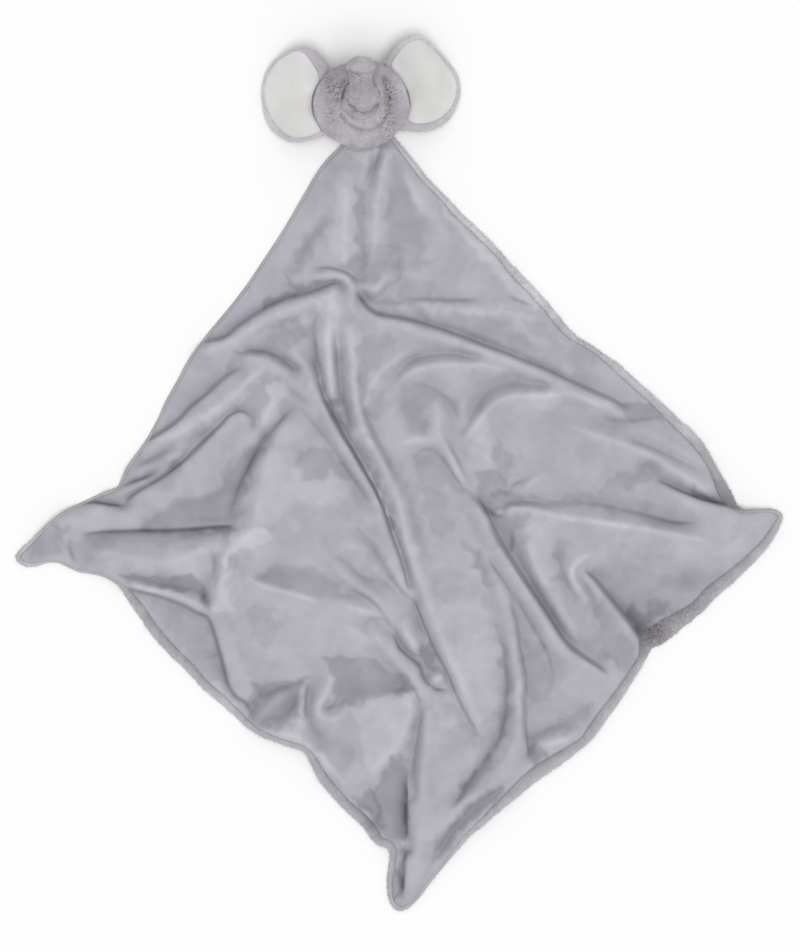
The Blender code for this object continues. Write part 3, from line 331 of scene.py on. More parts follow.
# Valleys between them
VALLEYS_PX = {
    "under_upper_left": [
        (199, 344, 2), (223, 339, 1), (240, 327, 0), (262, 312, 0), (285, 301, 0), (310, 294, 0),
        (325, 288, 1), (336, 283, 2), (346, 286, 5),
    ],
    "under_upper_right": [
        (357, 292, 6), (361, 300, 3), (367, 308, 0), (378, 315, 0), (400, 319, 0), (420, 324, 0),
        (440, 330, 0), (460, 337, 0), (480, 345, 0), (500, 352, 0), (520, 360, 0), (540, 368, 0),
        (560, 377, 0), (580, 387, 0), (600, 396, 0), (616, 403, 1), (625, 409, 4),
    ],
    "small_tuck_top": [(313, 269, 2), (330, 268, 1), (343, 271, 1), (353, 277, 2), (362, 282, 3)],
    "small_tuck_pocket": [(306, 286, 2), (315, 282, 3), (330, 281, 5)],
    "left_pocket": [(283, 277, 3), (290, 284, 2), (297, 290, 0)],
    "neck_diagonal": [(324, 221, 3), (311, 239, 1), (302, 255, 0), (296, 267, 1)],
    "neck_between": [(359, 188, 3), (360, 215, 3), (361, 245, 3), (362, 268, 2)],
    "neck_dark": [(381, 144, 3), (378, 155, 1), (372, 170, 0), (366, 184, 1)],
    "neck_side": [(396, 158, 3), (399, 175, 2), (405, 195, 1), (412, 212, 1)],
    "wave_under": [
        (359, 291, 3), (370, 298, 3), (382, 292, 3), (388, 284, 3), (398, 281, 2), (398, 258, 2),
    ],
    "faint_crease": [(395, 299, 3), (430, 299, 2), (460, 300, 2), (479, 298, 3)],
    "rim_crease": [(505, 296, 2), (525, 303, 1), (538, 308, 1)],
    "rim_crease_low": [(558, 337, 2), (568, 340, 1), (576, 345, 0), (583, 346, 1)],
    "knee_top": [
        (396, 378, 10), (400, 369, 8), (408, 361, 6), (420, 356, 6), (440, 353, 6), (462, 353, 6),
        (480, 354, 9),
    ],
    "knee_inner": [
        (412, 383, 10), (424, 386, 8), (436, 390, 7), (447, 398, 6), (454, 408, 5), (455, 420, 6),
    ],
    "knob_pocket": [(398, 395, 8), (408, 408, 5), (416, 416, 5), (424, 426, 7)],
    "bar_under": [
        (415, 464, 8), (416, 455, 7), (424, 450, 7), (434, 450, 8), (441, 457, 8), (449, 468, 7),
        (456, 479, 7), (465, 489, 7),
    ],
    "hook_dark": [
        (466, 424, 8), (474, 408, 7), (486, 393, 7), (502, 384, 8), (524, 381, 10), (548, 383, 12),
    ],
    "nose_inner": [(558, 406, 12), (572, 405, 12), (588, 411, 11)],
    "nose_under": [(592, 417, 7), (604, 420, 6), (618, 421, 5), (632, 421, 5), (660, 419, 5)],
    "run_top": [(632, 440, 7), (650, 447, 6), (670, 455, 5), (690, 464, 4), (706, 472, 4)],
    "run_under": [(606, 490, 7), (622, 481, 6), (638, 480, 5), (642, 470, 5), (650, 463, 6)],
    "flap_top": [
        (654, 476, 4), (666, 484, 2), (680, 491, 0), (700, 499, 0), (720, 504, 0), (740, 508, 0),
    ],
    "corner_run_top": [
        (505, 504, 6), (520, 503, 5), (545, 501, 4), (575, 502, 3), (600, 505, 2), (630, 511, 1),
        (650, 516, 1), (668, 521, 0), (684, 523, 0), (696, 521, 2),
    ],
    "pocket_upper": [(479, 496, 3), (483, 504, 0), (485, 512, 0), (491, 519, 2), (498, 526, 4)],
    "pocket_lower": [(512, 530, 3), (512, 542, 0), (512, 556, 0)],
    "small_hook_under": [(511, 495, 6), (511, 488, 4), (516, 483, 3), (523, 481, 4), (528, 477, 6)],
    "s_left": [(557, 543, 6), (556, 556, 5), (560, 570, 5), (566, 583, 5), (573, 596, 6)],
    "s_right": [(577, 568, 9), (579, 578, 8), (587, 588, 6), (592, 600, 6), (593, 618, 7)],
    "right_low_under": [
        (583, 568, 8), (589, 574, 4), (599, 586, 0), (612, 602, 0), (625, 618, 0), (635, 632, 0),
        (645, 647, 0),
    ],
    "middle_left": [
        (318, 381, 1), (322, 397, 0), (326, 406, 0), (331, 416, 0), (337, 426, 0), (343, 437, 0),
        (350, 448, 0), (356, 458, 0), (362, 468, 0), (369, 480, 0), (375, 491, 0), (380, 502, 0),
        (385, 515, 0), (389, 528, 0), (394, 541, 1), (398, 552, 1), (402, 564, 2), (406, 577, 3),
        (410, 589, 5),
    ],
    "short_right": [
        (336, 334, 11), (336, 348, 8), (337, 362, 5), (339, 380, 4), (342, 396, 3), (346, 410, 3),
        (350, 424, 5), (353, 435, 8),
    ],
    "middle_right": [
        (359, 362, 13), (360, 385, 11), (362, 402, 10), (366, 418, 9), (371, 430, 10),
        (378, 445, 11), (386, 460, 12), (394, 474, 12),
    ],
    "shoulder_top": [
        (236, 352, 6), (250, 350, 4), (263, 351, 3), (276, 355, 3), (288, 362, 2), (298, 369, 2),
    ],
    "shoulder_pocket": [(276, 330, 8), (275, 341, 7), (281, 350, 5)],
    "hand_top": [
        (143, 443, 1), (160, 434, 0), (178, 422, 0), (192, 407, 0), (208, 394, 0), (221, 382, 1),
        (231, 374, 3), (243, 364, 5),
    ],
    "hand_under": [
        (254, 424, 7), (249, 415, 6), (240, 411, 5), (230, 415, 3), (220, 426, 1), (205, 441, 0),
        (191, 455, 0), (178, 466, 0), (160, 479, 0), (141, 490, 0), (129, 498, 0), (124, 503, 0),
    ],
    "hand_streak": [(133, 467, 4), (150, 460, 3), (165, 451, 3), (177, 443, 5)],
    "corner_upper": [(117, 487, 0), (135, 481, 0), (150, 475, 0), (158, 470, 2)],
    "corner_middle": [(76, 505, 0), (92, 503, 0), (110, 505, 0), (125, 506, 0)],
    "valley": [
        (294, 407, 4), (286, 414, 3), (276, 425, 2), (264, 439, 1), (255, 454, 0), (247, 470, 0),
        (239, 487, 0), (233, 504, 0), (229, 519, 0),
    ],
    "corner_deep": [
        (78, 537, 3), (92, 533, 1), (112, 531, 0), (140, 530, 0), (170, 530, 0), (200, 528, 0),
        (225, 526, 0), (237, 528, 1),
    ],
    "corner_hook": [(71, 537, 4), (69, 546, 3), (72, 556, 3), (78, 570, 1)],
    "corner_band": [(115, 575, 5), (150, 578, 3), (180, 581, 2), (201, 585, 1)],
    "corner_band_end": [(204, 583, 1), (205, 596, 0), (207, 609, 2)],
    "overlap_under": [
        (123, 588, 1), (140, 591, 0), (160, 596, 0), (182, 604, 0), (198, 612, 0), (208, 617, 0),
        (214, 630, 0), (220, 650, 0), (225, 668, 0), (229, 684, 0), (237, 696, 0), (246, 702, 0),
        (250, 713, 1),
    ],
    "blade_crease": [(231, 555, 9), (229, 564, 8), (232, 573, 9)],
    "belly_top": [
        (257, 578, 7), (264, 571, 6), (276, 567, 6), (300, 570, 7), (325, 574, 7), (338, 581, 7),
    ],
    "mid_crease": [(209, 545, 8), (214, 560, 6), (213, 575, 4)],
    "lower_middle_top": [
        (332, 553, 7), (345, 561, 6), (354, 569, 6), (361, 576, 6), (371, 579, 6), (381, 580, 7),
        (396, 594, 8),
    ],
    "lower_middle_under": [
        (346, 591, 5), (357, 593, 4), (367, 597, 6), (377, 606, 8), (387, 618, 9),
    ],
    "band_left": [
        (352, 522, 8), (359, 531, 7), (366, 540, 7), (373, 549, 6), (379, 559, 6), (385, 569, 6),
        (392, 579, 7), (401, 589, 7), (412, 599, 6),
    ],
    "long_left": [
        (412, 597, 6), (417, 606, 3), (422, 618, 1), (428, 632, 0), (434, 645, 0), (441, 659, 0),
        (448, 673, 0), (454, 687, 0), (461, 702, 1), (469, 718, 3), (478, 735, 6),
    ],
    "pocket_curve": [
        (393, 629, 5), (395, 637, 2), (399, 648, 1), (405, 654, 0), (412, 660, 0), (419, 667, 0),
        (422, 676, 0), (427, 683, 0), (436, 689, 0), (447, 690, 2),
    ],
    "dark_belly": [(340, 690, 1), (352, 688, 1), (372, 690, 1), (392, 688, 1), (408, 688, 3)],
    "panel_right": [
        (408, 681, 10), (414, 688, 9), (418, 696, 8), (420, 708, 7), (419, 722, 5), (416, 745, 3),
        (413, 770, 2), (411, 800, 2), (410, 830, 1),
    ],
    "hollow": [(385, 775, 3), (393, 770, 3), (394, 800, 1), (387, 818, 2), (395, 832, 1)],
    "hollow_line": [(406, 770, 1), (407, 790, 0), (407, 815, 0), (407, 840, 0)],
    "curl_under": [
        (319, 676, 4), (309, 686, 1), (306, 700, 0), (307, 714, 0), (312, 726, 1), (322, 736, 4),
    ],
    "curl_pocket": [(322, 706, 3), (333, 704, 1), (344, 700, 2)],
    "wedge_upper": [
        (318, 676, 4), (300, 682, 2), (284, 687, 1), (266, 693, 0), (254, 703, 0), (249, 717, 0),
    ],
    "wedge_lower": [(297, 694, 2), (292, 706, 0), (282, 716, 0), (263, 725, 0)],
    "run_left": [
        (486, 600, 12), (497, 629, 9), (504, 653, 6), (507, 680, 4), (506, 706, 3), (502, 730, 2),
        (494, 748, 2), (483, 762, 1), (471, 778, 1), (462, 792, 2), (455, 804, 3),
    ],
    "run_right": [
        (512, 603, 13), (517, 622, 9), (519, 645, 6), (522, 662, 4), (525, 682, 4), (523, 702, 3),
        (524, 722, 2), (527, 742, 1), (531, 757, 0),
    ],
    "band_right_left": [
        (486, 557, 13), (496, 570, 12), (506, 583, 11), (518, 602, 10), (530, 622, 9),
        (543, 644, 8), (550, 661, 7), (554, 680, 5),
    ],
    "deep_right": [
        (470, 494, 10), (482, 507, 3), (490, 521, 2), (497, 539, 2), (506, 554, 0), (513, 565, 0),
        (522, 579, 0), (533, 595, 0), (546, 614, 0), (558, 633, 0), (568, 646, 1), (578, 654, 2),
        (593, 664, 4), (609, 674, 6),
    ],
    "low_right_dark": [(534, 737, 2), (549, 729, 2), (568, 724, 2)],
    "tip_band": [(502, 788, 3), (482, 802, 1), (463, 817, 0), (448, 834, 0), (436, 855, 1)],
    "tip_line": [(407, 846, 0), (405, 862, 0), (404, 880, 0), (402, 896, 1)],
    "bottom_left": [(352, 800, 2), (367, 808, 1), (378, 818, 0)],
    "border_pocket": [(634, 618, 2), (637, 630, 0)],
    "short_left_valley": [
        (315, 312, 11), (314, 328, 9), (315, 345, 6), (316, 360, 3), (318, 374, 1), (320, 386, 0),
    ],
    "dark_pocket": [(330, 406, 2), (338, 412, 2), (345, 420, 4)],
    "left_outer": [
        (296, 405, 8), (304, 412, 8), (312, 422, 8), (322, 434, 8), (333, 448, 6), (344, 464, 4),
        (352, 476, 3), (359, 485, 2), (364, 494, 3), (370, 504, 6),
    ],
    "dark_panel": [(302, 472, 6), (303, 455, 6), (320, 452, 6), (335, 458, 5)],
    "small_arc_dark": [
        (286, 396, 11), (288, 389, 10), (297, 394, 10), (306, 401, 10), (313, 409, 10),
    ],
    "middle_right_low": [(409, 500, 14), (414, 516, 13), (419, 534, 13), (423, 546, 14)],
    "knob_line": [(446, 438, 12), (452, 450, 11), (459, 463, 10), (465, 477, 9)],
    "bar_shade": [(424, 462, 8), (436, 466, 8), (446, 478, 9)],
    "small_hook_low": [(522, 490, 8), (532, 495, 8), (546, 501, 8)],
    "corner_run_slope": [(560, 507, 8), (600, 511, 7), (632, 517, 6)],
    "long_left_shade": [
        (409, 606, 6), (416, 622, 5), (424, 640, 3), (416, 656, 3), (430, 660, 1), (438, 668, 2),
    ],
    "pocket_start": [(366, 634, 8), (365, 626, 7), (369, 620, 7), (380, 619, 6), (389, 623, 5)],
    "pocket_crease": [(372, 638, 9), (380, 650, 9)],
    "dark_belly_top": [
        (318, 657, 6), (335, 653, 5), (355, 654, 5), (378, 660, 5), (396, 670, 6), (407, 681, 6),
    ],
    "dark_belly_low": [(330, 698, 3), (345, 702, 4)],
    "corner_band_low": [(150, 584, 5), (180, 588, 3), (200, 593, 2)],
    "valley_mouth": [(224, 522, 2), (205, 520, 5), (190, 521, 6)],
    "right_mark": [(433, 540, 14), (443, 551, 14)],
    "long_end_mark": [(478, 736, 10), (474, 746, 10), (471, 756, 9)],
    "upper_shade": [(430, 318, 6), (480, 334, 6), (530, 355, 6), (570, 376, 6)],
    "low_left_crease": [(203, 660, 4), (214, 656, 2), (222, 655, 1)],
    "deep_start": [(478, 500, 2), (490, 512, 3), (500, 516, 5), (506, 508, 6)],
}

# Valleys under an edge of raised cloth: the side it is on, its height in millimetres, how far it
# hangs over in pixels, then along the line: how dark its painted shade is, and how wide in pixels
TUCKS = {
    "under_upper_left": (1, 13, 1.0, (1.4, 1.2, 0.9, 1.1), (6, 6, 7, 3)),
    "under_upper_right": (1, 17, 1.2, (1.3, 1.9, 1.0, 0.9, 1.3, 1.1), (2.5, 2.5, 2, 2, 2.5, 2)),
    "small_tuck_top": (1, 7, 0.8, (0.9, 0.6), (2, 2)),
    "hand_top": (1, 11, 0.8, (2.0, 1.5, 0.9, 0.6), (3, 4, 5, 5)),
    "hand_under": (-1, 10, 0.8, (0.4, 0.7, 1.2, 1.2), (4, 4, 3, 3)),
    "corner_middle": (1, 9, 0.8, (2.2, 2.6, 1.8), (3, 3, 3)),
    "corner_deep": (-1, 8, 0.8, (0.6, 2.0, 2.0, 1.7, 1.5, 1.6), (5, 5, 5, 6, 9, 9)),
    "overlap_under": (-1, 11, 1.0, (1.3, 1.0, 1.2, 1.6, 1.7, 1.0), (3, 3, 3, 4, 5, 3)),
    "long_left": (-1, 11, 1.5, (1.2, 0.9, 0.8, 0.6), (3, 3, 2.5, 2.5)),
    "middle_left": (1, 14, 0.9, (0.9, 1.6, 2.6, 2.8, 2.2, 0.9, 0.4, 0.3), (4, 4, 3, 2, 2, 3, 4, 4)),
    "deep_right": (1, 15, 1.1, (0.4, 0.4, 0.6, 1.4, 1.6, 1.5, 1.0, 0.8), (4, 4, 4, 6, 6, 5, 4, 3)),
    "run_right": (1, 11, 1.2, (0.4, 0.4, 0.2, 0.4, 0.9), (3, 3, 3, 3, 4)),
    "right_low_under": (1, 13, 1.0, (0.9, 1.0, 1.1, 1.3, 1.6), (3, 4, 8, 14, 18)),
    "flap_top": (1, 9, 1.0, (0.6, 1.2, 2.0, 2.3, 2.0), (3, 4, 5, 6, 4)),
    "pocket_curve": (1, 11, 1.0, (0.4, 0.9, 1.0, 1.2, 0.9, 0.6), (3, 3)),
    "hollow_line": (-1, 11, 1.5, (0.5, 1.3, 2.3, 2.3, 1.4), (4, 5, 6, 6, 4)),
    "tip_line": (-1, 7, 1.0, (0.8, 1.2, 1.5, 0.8), (3, 4)),
}

# Painted shade along creases: half width in pixels, then how strongly, or so along them
PAINTED_CREASE_SHADES = {
    1.3: {
        "small_tuck_pocket": 0.6, "neck_dark": 0.6, "left_outer": (0.6, 0.4, 0.2), "short_left_valley": 0.5,
        "short_right": 0.3, "knee_inner": 0.6, "knob_line": 0.8, "bar_under": 0.6,
        "pocket_upper": 0.9, "small_hook_under": 1.2, "small_hook_low": 0.5,
        "corner_run_top": (0.1, 0.2, 0.5, 1.4), "corner_upper": 2.2, "corner_hook": 1.2,
        "corner_band_end": 2.0, "band_left": 0.4, "lower_middle_top": 0.5,
        "lower_middle_under": 0.8, "pocket_start": 0.6, "panel_right": (0.5, 0.2, 0.1),
        "curl_under": 0.4, "wedge_upper": 0.3, "wedge_lower": 0.5, "band_right_left": 0.8,
        "run_left": (0.0, 0.2, 0.5, 0.6), "faint_crease": 0.8, "rim_crease": 1.4,
        "rim_crease_low": 1.2, "s_right": 0.5, "shoulder_top": 0.5, "blade_crease": 0.6,
        "mid_crease": 0.6, "nose_under": 0.7, "right_mark": 0.4, "long_end_mark": 0.9,
        "low_right_dark": 0.4, "border_pocket": 0.6, "wave_under": 0.4, "pocket_lower": 1.2,
        "valley": (1.3, 1.1, 0.2), "hand_streak": 0.4, "low_left_crease": 1.2, "deep_start": 1.4,
        "bottom_left": 0.8, "hand_under": (0.6, 0.3, 0.2), "knee_top": 0.2,
    },
    3.0: {
        "valley": 0.4, "short_left_valley": 0.6, "short_right": 0.4, "dark_pocket": 0.3,
        "knee_top": 0.2, "small_tuck_pocket": 0.3, "corner_run_top": (0.1, 0.2, 0.4), "hand_streak": 0.6,
        "corner_band_end": 0.4, "panel_right": (0.1, 0.4, 0.3), "run_left": (0.0, 0.1, 0.5, 0.6),
        "curl_under": 0.3, "curl_pocket": 0.4, "wedge_upper": 0.2, "middle_right": 0.4,
        "middle_right_low": 0.4, "pocket_lower": 0.7, "s_left": 0.4, "s_right": 0.2,
        "neck_side": 0.2, "neck_diagonal": 0.4, "shoulder_top": 0.4, "mid_crease": 0.4,
        "low_right_dark": 0.4, "small_arc_dark": 0.5, "left_pocket": 0.6, "shoulder_pocket": 0.5,
    },
    6.0: {"hook_dark": 0.05, "belly_top": 0.1, "left_outer": 0.1, "tip_band": 0.3},
}
# Painted highlights along crests: how strongly
PAINTED_CREST_HIGHLIGHTS = {
    "hook": 0.55, "hook_lobe": 0.6, "right_run": 0.4, "right_corner_run": 0.55, "knee": 0.5,
    "short_left": 0.3, "long_middle": 0.2, "bar": 0.4, "knob": 0.3, "s_wrinkle": 0.7,
    "belly_right": 0.6, "belly_low": 0.6, "left_belly": 0.8, "curl": 0.5, "lower_panel": 0.2,
    "upper_roll": 0.5, "wave": 0.6, "left_corner_low": 0.6, "left_blade": 0.4, "band_low": 0.3,
    "upper_right_lip": 0.2, "upper_left_lip": 0.3, "knee_left": 0.5, "valley_foot": 0.4,
    "small_hook": 0.6, "low_right_rim": 0.8, "tip_rim": 0.2, "neck_left": 0.2, "neck_right": 0.3,
    "pocket_roll": 0.1, "pocket_floor": 0.6, "pocket_blob": 0.2, "flap_rim": 0.6,
    "small_blob": 0.4, "lower_strip_light": 0.4, "low_left_wedge": 0.3, "curl_left": 0.4,
    "neck_far_right": 0.2, "left_hand_run": 0.3, "low_rim_left": 0.6, "wave_right": 0.2,
}

# Patches painted lighter or darker: painted shade in valleys, hollows, pockets and under the chin,
# painted light on raised strips and where the head's shadow falls, and tone where the nap is
# brushed: how strongly, how soft their edge is in pixels, and their outline
PATCHES_PX = {
    "foot": (0.7, 4, [
        (237, 530), (262, 530), (269, 537), (257, 546), (236, 553), (230, 562), (227, 582),
        (229, 600), (232, 612), (214, 610), (213, 598), (221, 580), (224, 556), (229, 543),
    ]),
    "lower_panel_tone": (0.5, 5, [
        (354, 703), (414, 691), (417, 704), (412, 724), (404, 746), (394, 757), (380, 770),
        (368, 768), (363, 748), (359, 728),
    ]),
    "low_rim_tone": (0.4, 3, [(260, 724), (296, 722), (303, 736), (297, 744), (264, 734)]),
    "low_rim_run": (0.5, 3, [(300, 744), (318, 754), (334, 768), (346, 784), (334, 778), (316, 764)]),
    "corner_mid_tone": (0.3, 5, [(150, 558), (205, 545), (214, 560), (205, 576), (160, 571), (130, 568)]),
    "middle_tone": (0.35, 7, [
        (262, 457), (280, 450), (298, 466), (310, 480), (336, 476), (350, 492), (340, 506),
        (300, 502), (276, 520), (258, 522), (250, 505), (254, 480),
    ]),
    "left_inner_tone": (0.5, 4, [(270, 386), (288, 382), (281, 400), (276, 424), (264, 430), (267, 405)]),
    "upper_tone": (0.3, 4, [(396, 304), (440, 303), (490, 305), (500, 314), (450, 313), (400, 313)]),
    "upper_fan": (0.35, 6, [(492, 312), (530, 314), (575, 345), (560, 352), (524, 334), (505, 330)]),
    "rim_tone": (0.7, 5, [
        (440, 200), (462, 222), (492, 252), (524, 286), (548, 306), (528, 305), (500, 278),
        (466, 240), (444, 214),
    ]),
    "neck_far_tone": (0.3, 4, [(405, 164), (416, 182), (434, 206), (436, 218), (418, 208), (408, 190)]),
    "neck_top_painted_light": (0.5, 4, [(350, 149), (394, 149), (390, 160), (376, 160), (354, 162)]),
    "middle_edge_tone": (0.6, 3, [(378, 482), (390, 484), (398, 520), (388, 520)]),
    "overlap_tone": (0.6, 4, [(208, 682), (228, 686), (236, 706), (220, 706)]),
    "right_run_tone": (0.5, 3, [(552, 507), (600, 510), (640, 519), (620, 526), (580, 519)]),
    "foot_left_tone": (0.5, 4, [(194, 534), (216, 534), (218, 552), (198, 550)]),
    "foot_low_tone": (0.4, 4, [(226, 572), (240, 574), (242, 596), (228, 596)]),
    "between_tone": (0.5, 3, [(350, 434), (366, 436), (372, 458), (360, 456)]),
    "centre_tone": (0.4, 4, [(394, 532), (408, 534), (414, 556), (400, 556)]),
    "knee_tone": (0.4, 4, [(528, 393), (556, 395), (556, 410), (532, 408)]),
    "hand_low_tone": (0.4, 4, [(208, 406), (232, 408), (226, 424), (206, 426)]),
    "chin_shade": (-0.9, 1.2, [
        (346, 146), (354, 149), (361, 150), (374, 148), (384, 146), (376, 150), (361, 152.5), (352, 151),
    ]),
    "neck_low_shade": (-0.5, 5, [
        (350, 268), (364, 242), (388, 244), (414, 254), (436, 260), (410, 272), (384, 268),
        (374, 284), (354, 280),
    ]),
    "knee_start_shade": (-0.5, 4, [(364, 394), (382, 390), (388, 410), (372, 416)]),
    "hand_under_shade": (-0.5, 5, [(148, 464), (180, 460), (178, 484), (150, 484)]),
    "middle_low_shade": (-0.5, 5, [(422, 488), (446, 494), (454, 532), (432, 534)]),
    "upper_pocket_shade": (-0.5, 4, [(278, 320), (300, 320), (302, 342), (282, 344)]),
    "belly_left_shade": (-0.5, 5, [(248, 610), (276, 614), (276, 642), (254, 640)]),
    "strip_low_mark_shade": (-0.6, 4, [(464, 544), (484, 552), (498, 580), (486, 586), (472, 566)]),
    "low_run_tone": (0.4, 4, [(436, 696), (466, 696), (464, 722), (440, 724)]),
    "tip_low_shade": (-0.6, 4, [(380, 878), (402, 872), (400, 898), (382, 898)]),
    "lobe_side_shade": (-0.6, 4, [(492, 446), (512, 452), (512, 478), (496, 480)]),
    "right_long_shade": (-0.5, 4, [(566, 497), (620, 494), (656, 504), (640, 512), (600, 506)]),
    "wave_upper_shade": (-0.4, 5, [(402, 280), (430, 282), (438, 296), (406, 296)]),
    "rim_under_shade": (-0.5, 5, [(524, 320), (552, 326), (566, 344), (546, 340)]),
    "corner_top_shade": (-0.4, 5, [(84, 496), (120, 474), (140, 452), (146, 464), (110, 494), (88, 508)]),
    "neck_left_tone": (0.4, 6, [
        (341, 172), (351, 176), (353, 215), (352, 252), (334, 266), (328, 240), (338, 212),
    ]),
    "neck_right_tone": (0.35, 5, [
        (379, 168), (388, 160), (386, 200), (382, 224), (375, 222), (375, 208),
    ]),
    "right_inner_tone": (0.5, 5, [
        (527, 528), (548, 522), (552, 545), (556, 572), (574, 604), (560, 600), (540, 574), (530, 550),
    ]),
    "run_tone": (0.35, 6, [
        (440, 608), (478, 600), (497, 640), (500, 682), (490, 720), (474, 735), (456, 690), (444, 650),
    ]),
    "fold_tone": (0.5, 3, [
        (321, 304), (337, 292), (336, 335), (333, 380), (334, 398), (326, 396), (321, 365),
        (317, 330),
    ]),
    "middle_fold_tone": (0.3, 4, [
        (346, 332), (358, 330), (362, 380), (366, 405), (358, 408), (350, 372),
    ]),
    "upper_lip_tone": (0.3, 4, [(240, 342), (300, 318), (322, 304), (320, 316), (280, 334), (244, 348)]),
    "hand_tone": (0.4, 5, [
        (235, 388), (256, 366), (261, 376), (240, 400), (205, 424), (160, 446), (170, 434),
        (208, 410),
    ]),
    "belly_tone": (0.2, 9, [
        (240, 560), (262, 560), (256, 580), (300, 604), (372, 606), (380, 640), (330, 650),
        (260, 660), (246, 610),
    ]),
    "right_end_tone": (0.25, 8, [(676, 545), (722, 548), (744, 540), (730, 560), (700, 566), (676, 560)]),
    "pocket_tone": (0.5, 5, [(403, 622), (416, 622), (425, 640), (420, 655), (410, 652), (402, 640)]),
    "lobe_tone": (0.3, 5, [
        (466, 438), (474, 424), (486, 416), (490, 430), (489, 462), (480, 462), (476, 448),
    ]),
    "left_pocket_shade": (-0.8, 3, [
        (283, 277), (299, 285), (312, 283), (306, 294), (286, 300), (262, 312), (270, 300), (292, 290),
    ]),
    "neck_strip_shade": (-0.6, 5, [
        (326, 222), (318, 244), (306, 262), (302, 276), (284, 275), (292, 262), (302, 238), (316, 226),
    ]),
    "neck_mid_shade": (-0.5, 4, [(353, 190), (364, 190), (365, 230), (366, 266), (358, 268), (356, 230)]),
    "neck_right_shade": (-0.5, 9, [
        (390, 190), (402, 194), (424, 216), (430, 236), (420, 256), (404, 246), (390, 256), (386, 215),
    ]),
    "wave_shade": (-0.5, 4, [
        (358, 290), (374, 297), (396, 298), (480, 300), (440, 303), (386, 305), (368, 304),
    ]),
    "upper_low_shade": (-0.4, 6, [
        (436, 318), (500, 316), (530, 340), (540, 352), (515, 350), (470, 336),
    ]),
    "upper_end_shade": (-0.3, 6, [(540, 336), (576, 346), (606, 358), (580, 364), (552, 352)]),
    "nose_shade": (-0.7, 4, [(620, 402), (652, 404), (664, 418), (630, 420), (626, 410)]),
    "knee_shade": (-0.25, 5, [
        (470, 370), (500, 374), (540, 378), (556, 387), (520, 389), (492, 394), (478, 410),
        (464, 426), (466, 398),
    ]),
    "knee_inner_shade": (-0.45, 4, [
        (400, 386), (424, 385), (448, 396), (452, 408), (440, 399), (428, 404), (425, 416),
        (428, 434), (406, 432), (398, 408),
    ]),
    "bar_low_shade": (-0.35, 6, [
        (414, 456), (440, 452), (454, 474), (468, 494), (482, 520), (500, 548), (482, 546),
        (448, 500), (420, 482),
    ]),
    "centre_shade": (-0.3, 5, [
        (374, 430), (394, 456), (404, 482), (416, 508), (430, 545), (438, 580), (444, 606),
        (432, 594), (416, 548), (404, 505), (388, 462),
    ]),
    "between_shade": (-0.9, 4, [(326, 399), (340, 397), (341, 412), (347, 428), (340, 424), (331, 411)]),
    "dark_panel_shade": (-0.5, 3, [
        (299, 452), (320, 450), (344, 462), (356, 482), (334, 474), (302, 478),
    ]),
    "pocket_side_shade": (-0.7, 4, [(478, 468), (496, 476), (512, 492), (500, 500), (482, 494)]),
    "left_of_knee_shade": (-0.45, 4, [
        (360, 338), (400, 338), (392, 348), (378, 362), (368, 382), (361, 398),
    ]),
    "flap_tone_shade": (-0.3, 8, [
        (640, 548), (690, 552), (734, 562), (712, 584), (680, 590), (640, 572),
    ]),
    "strip_low_shade": (-0.5, 4, [(598, 600), (626, 636), (641, 650), (626, 672), (600, 648)]),
    "strip_mark_shade": (-0.4, 4, [(474, 552), (484, 562), (500, 596), (492, 598), (476, 570)]),
    "low_edge_tone": (0.9, 3, [(366, 461), (374, 468), (394, 512), (400, 532), (391, 524), (379, 494)]),
    "pocket_floor_tone": (0.6, 3, [
        (428, 684), (444, 676), (450, 690), (456, 704), (446, 700), (440, 688),
    ]),
    "shoulder_shade": (-0.5, 4, [
        (234, 352), (264, 350), (288, 358), (300, 370), (284, 366), (262, 358), (240, 362),
        (224, 374),
    ]),
    "upper_hand_shade": (-0.35, 5, [
        (262, 326), (300, 316), (312, 330), (304, 345), (278, 330), (276, 348), (240, 352),
    ]),
    "hand_shade": (-0.45, 5, [
        (250, 388), (264, 374), (284, 378), (270, 388), (262, 410), (256, 428), (246, 410),
        (226, 411), (236, 400),
    ]),
    "valley_shade": (-0.95, 8, [
        (260, 448), (252, 470), (242, 500), (236, 524), (214, 532), (180, 532), (136, 530),
        (170, 505), (208, 494), (228, 470), (244, 452),
    ]),
    "corner_start_shade": (-0.4, 6, [
        (74, 540), (100, 537), (120, 542), (98, 556), (90, 566), (78, 566), (71, 552),
    ]),
    "tip_start_shade": (-0.8, 8, [(40, 535), (64, 524), (66, 540), (54, 552), (34, 556), (28, 548)]),
    "corner_band_shade": (-1.0, 3, [
        (120, 573), (160, 576), (203, 579), (203, 602), (186, 594), (160, 587), (132, 583),
    ]),
    "overlap_shade": (-0.3, 6, [
        (146, 598), (196, 612), (212, 640), (222, 680), (236, 700), (216, 690), (190, 656), (164, 626),
    ]),
    "wedge_shade": (-0.8, 4, [
        (248, 692), (262, 684), (304, 677), (312, 674), (301, 690), (299, 714), (290, 726),
        (264, 729), (250, 716),
    ]),
    "belly_shade": (-0.5, 5, [
        (262, 577), (276, 566), (310, 570), (338, 582), (350, 597), (320, 598), (288, 590),
    ]),
    "dark_belly_shade": (-0.8, 4, [
        (322, 657), (368, 659), (398, 672), (412, 686), (396, 696), (360, 705), (328, 708),
        (334, 690), (330, 670),
    ]),
    "curl_shade": (-0.3, 4, [(306, 690), (318, 684), (316, 704), (312, 722), (306, 712)]),
    "pocket_shade": (-0.9, 3, [(429, 640), (435, 652), (441, 668), (434, 674), (424, 666), (418, 656)]),
    "hollow_shade": (-0.8, 4, [
        (398, 758), (406, 764), (406, 842), (386, 836), (378, 816), (376, 790), (384, 770),
    ]),
    "hollow_low_shade": (-1.0, 4, [
        (352, 802), (374, 790), (380, 802), (384, 832), (374, 824), (364, 812),
    ]),
    "lower_left_shade": (-0.4, 6, [
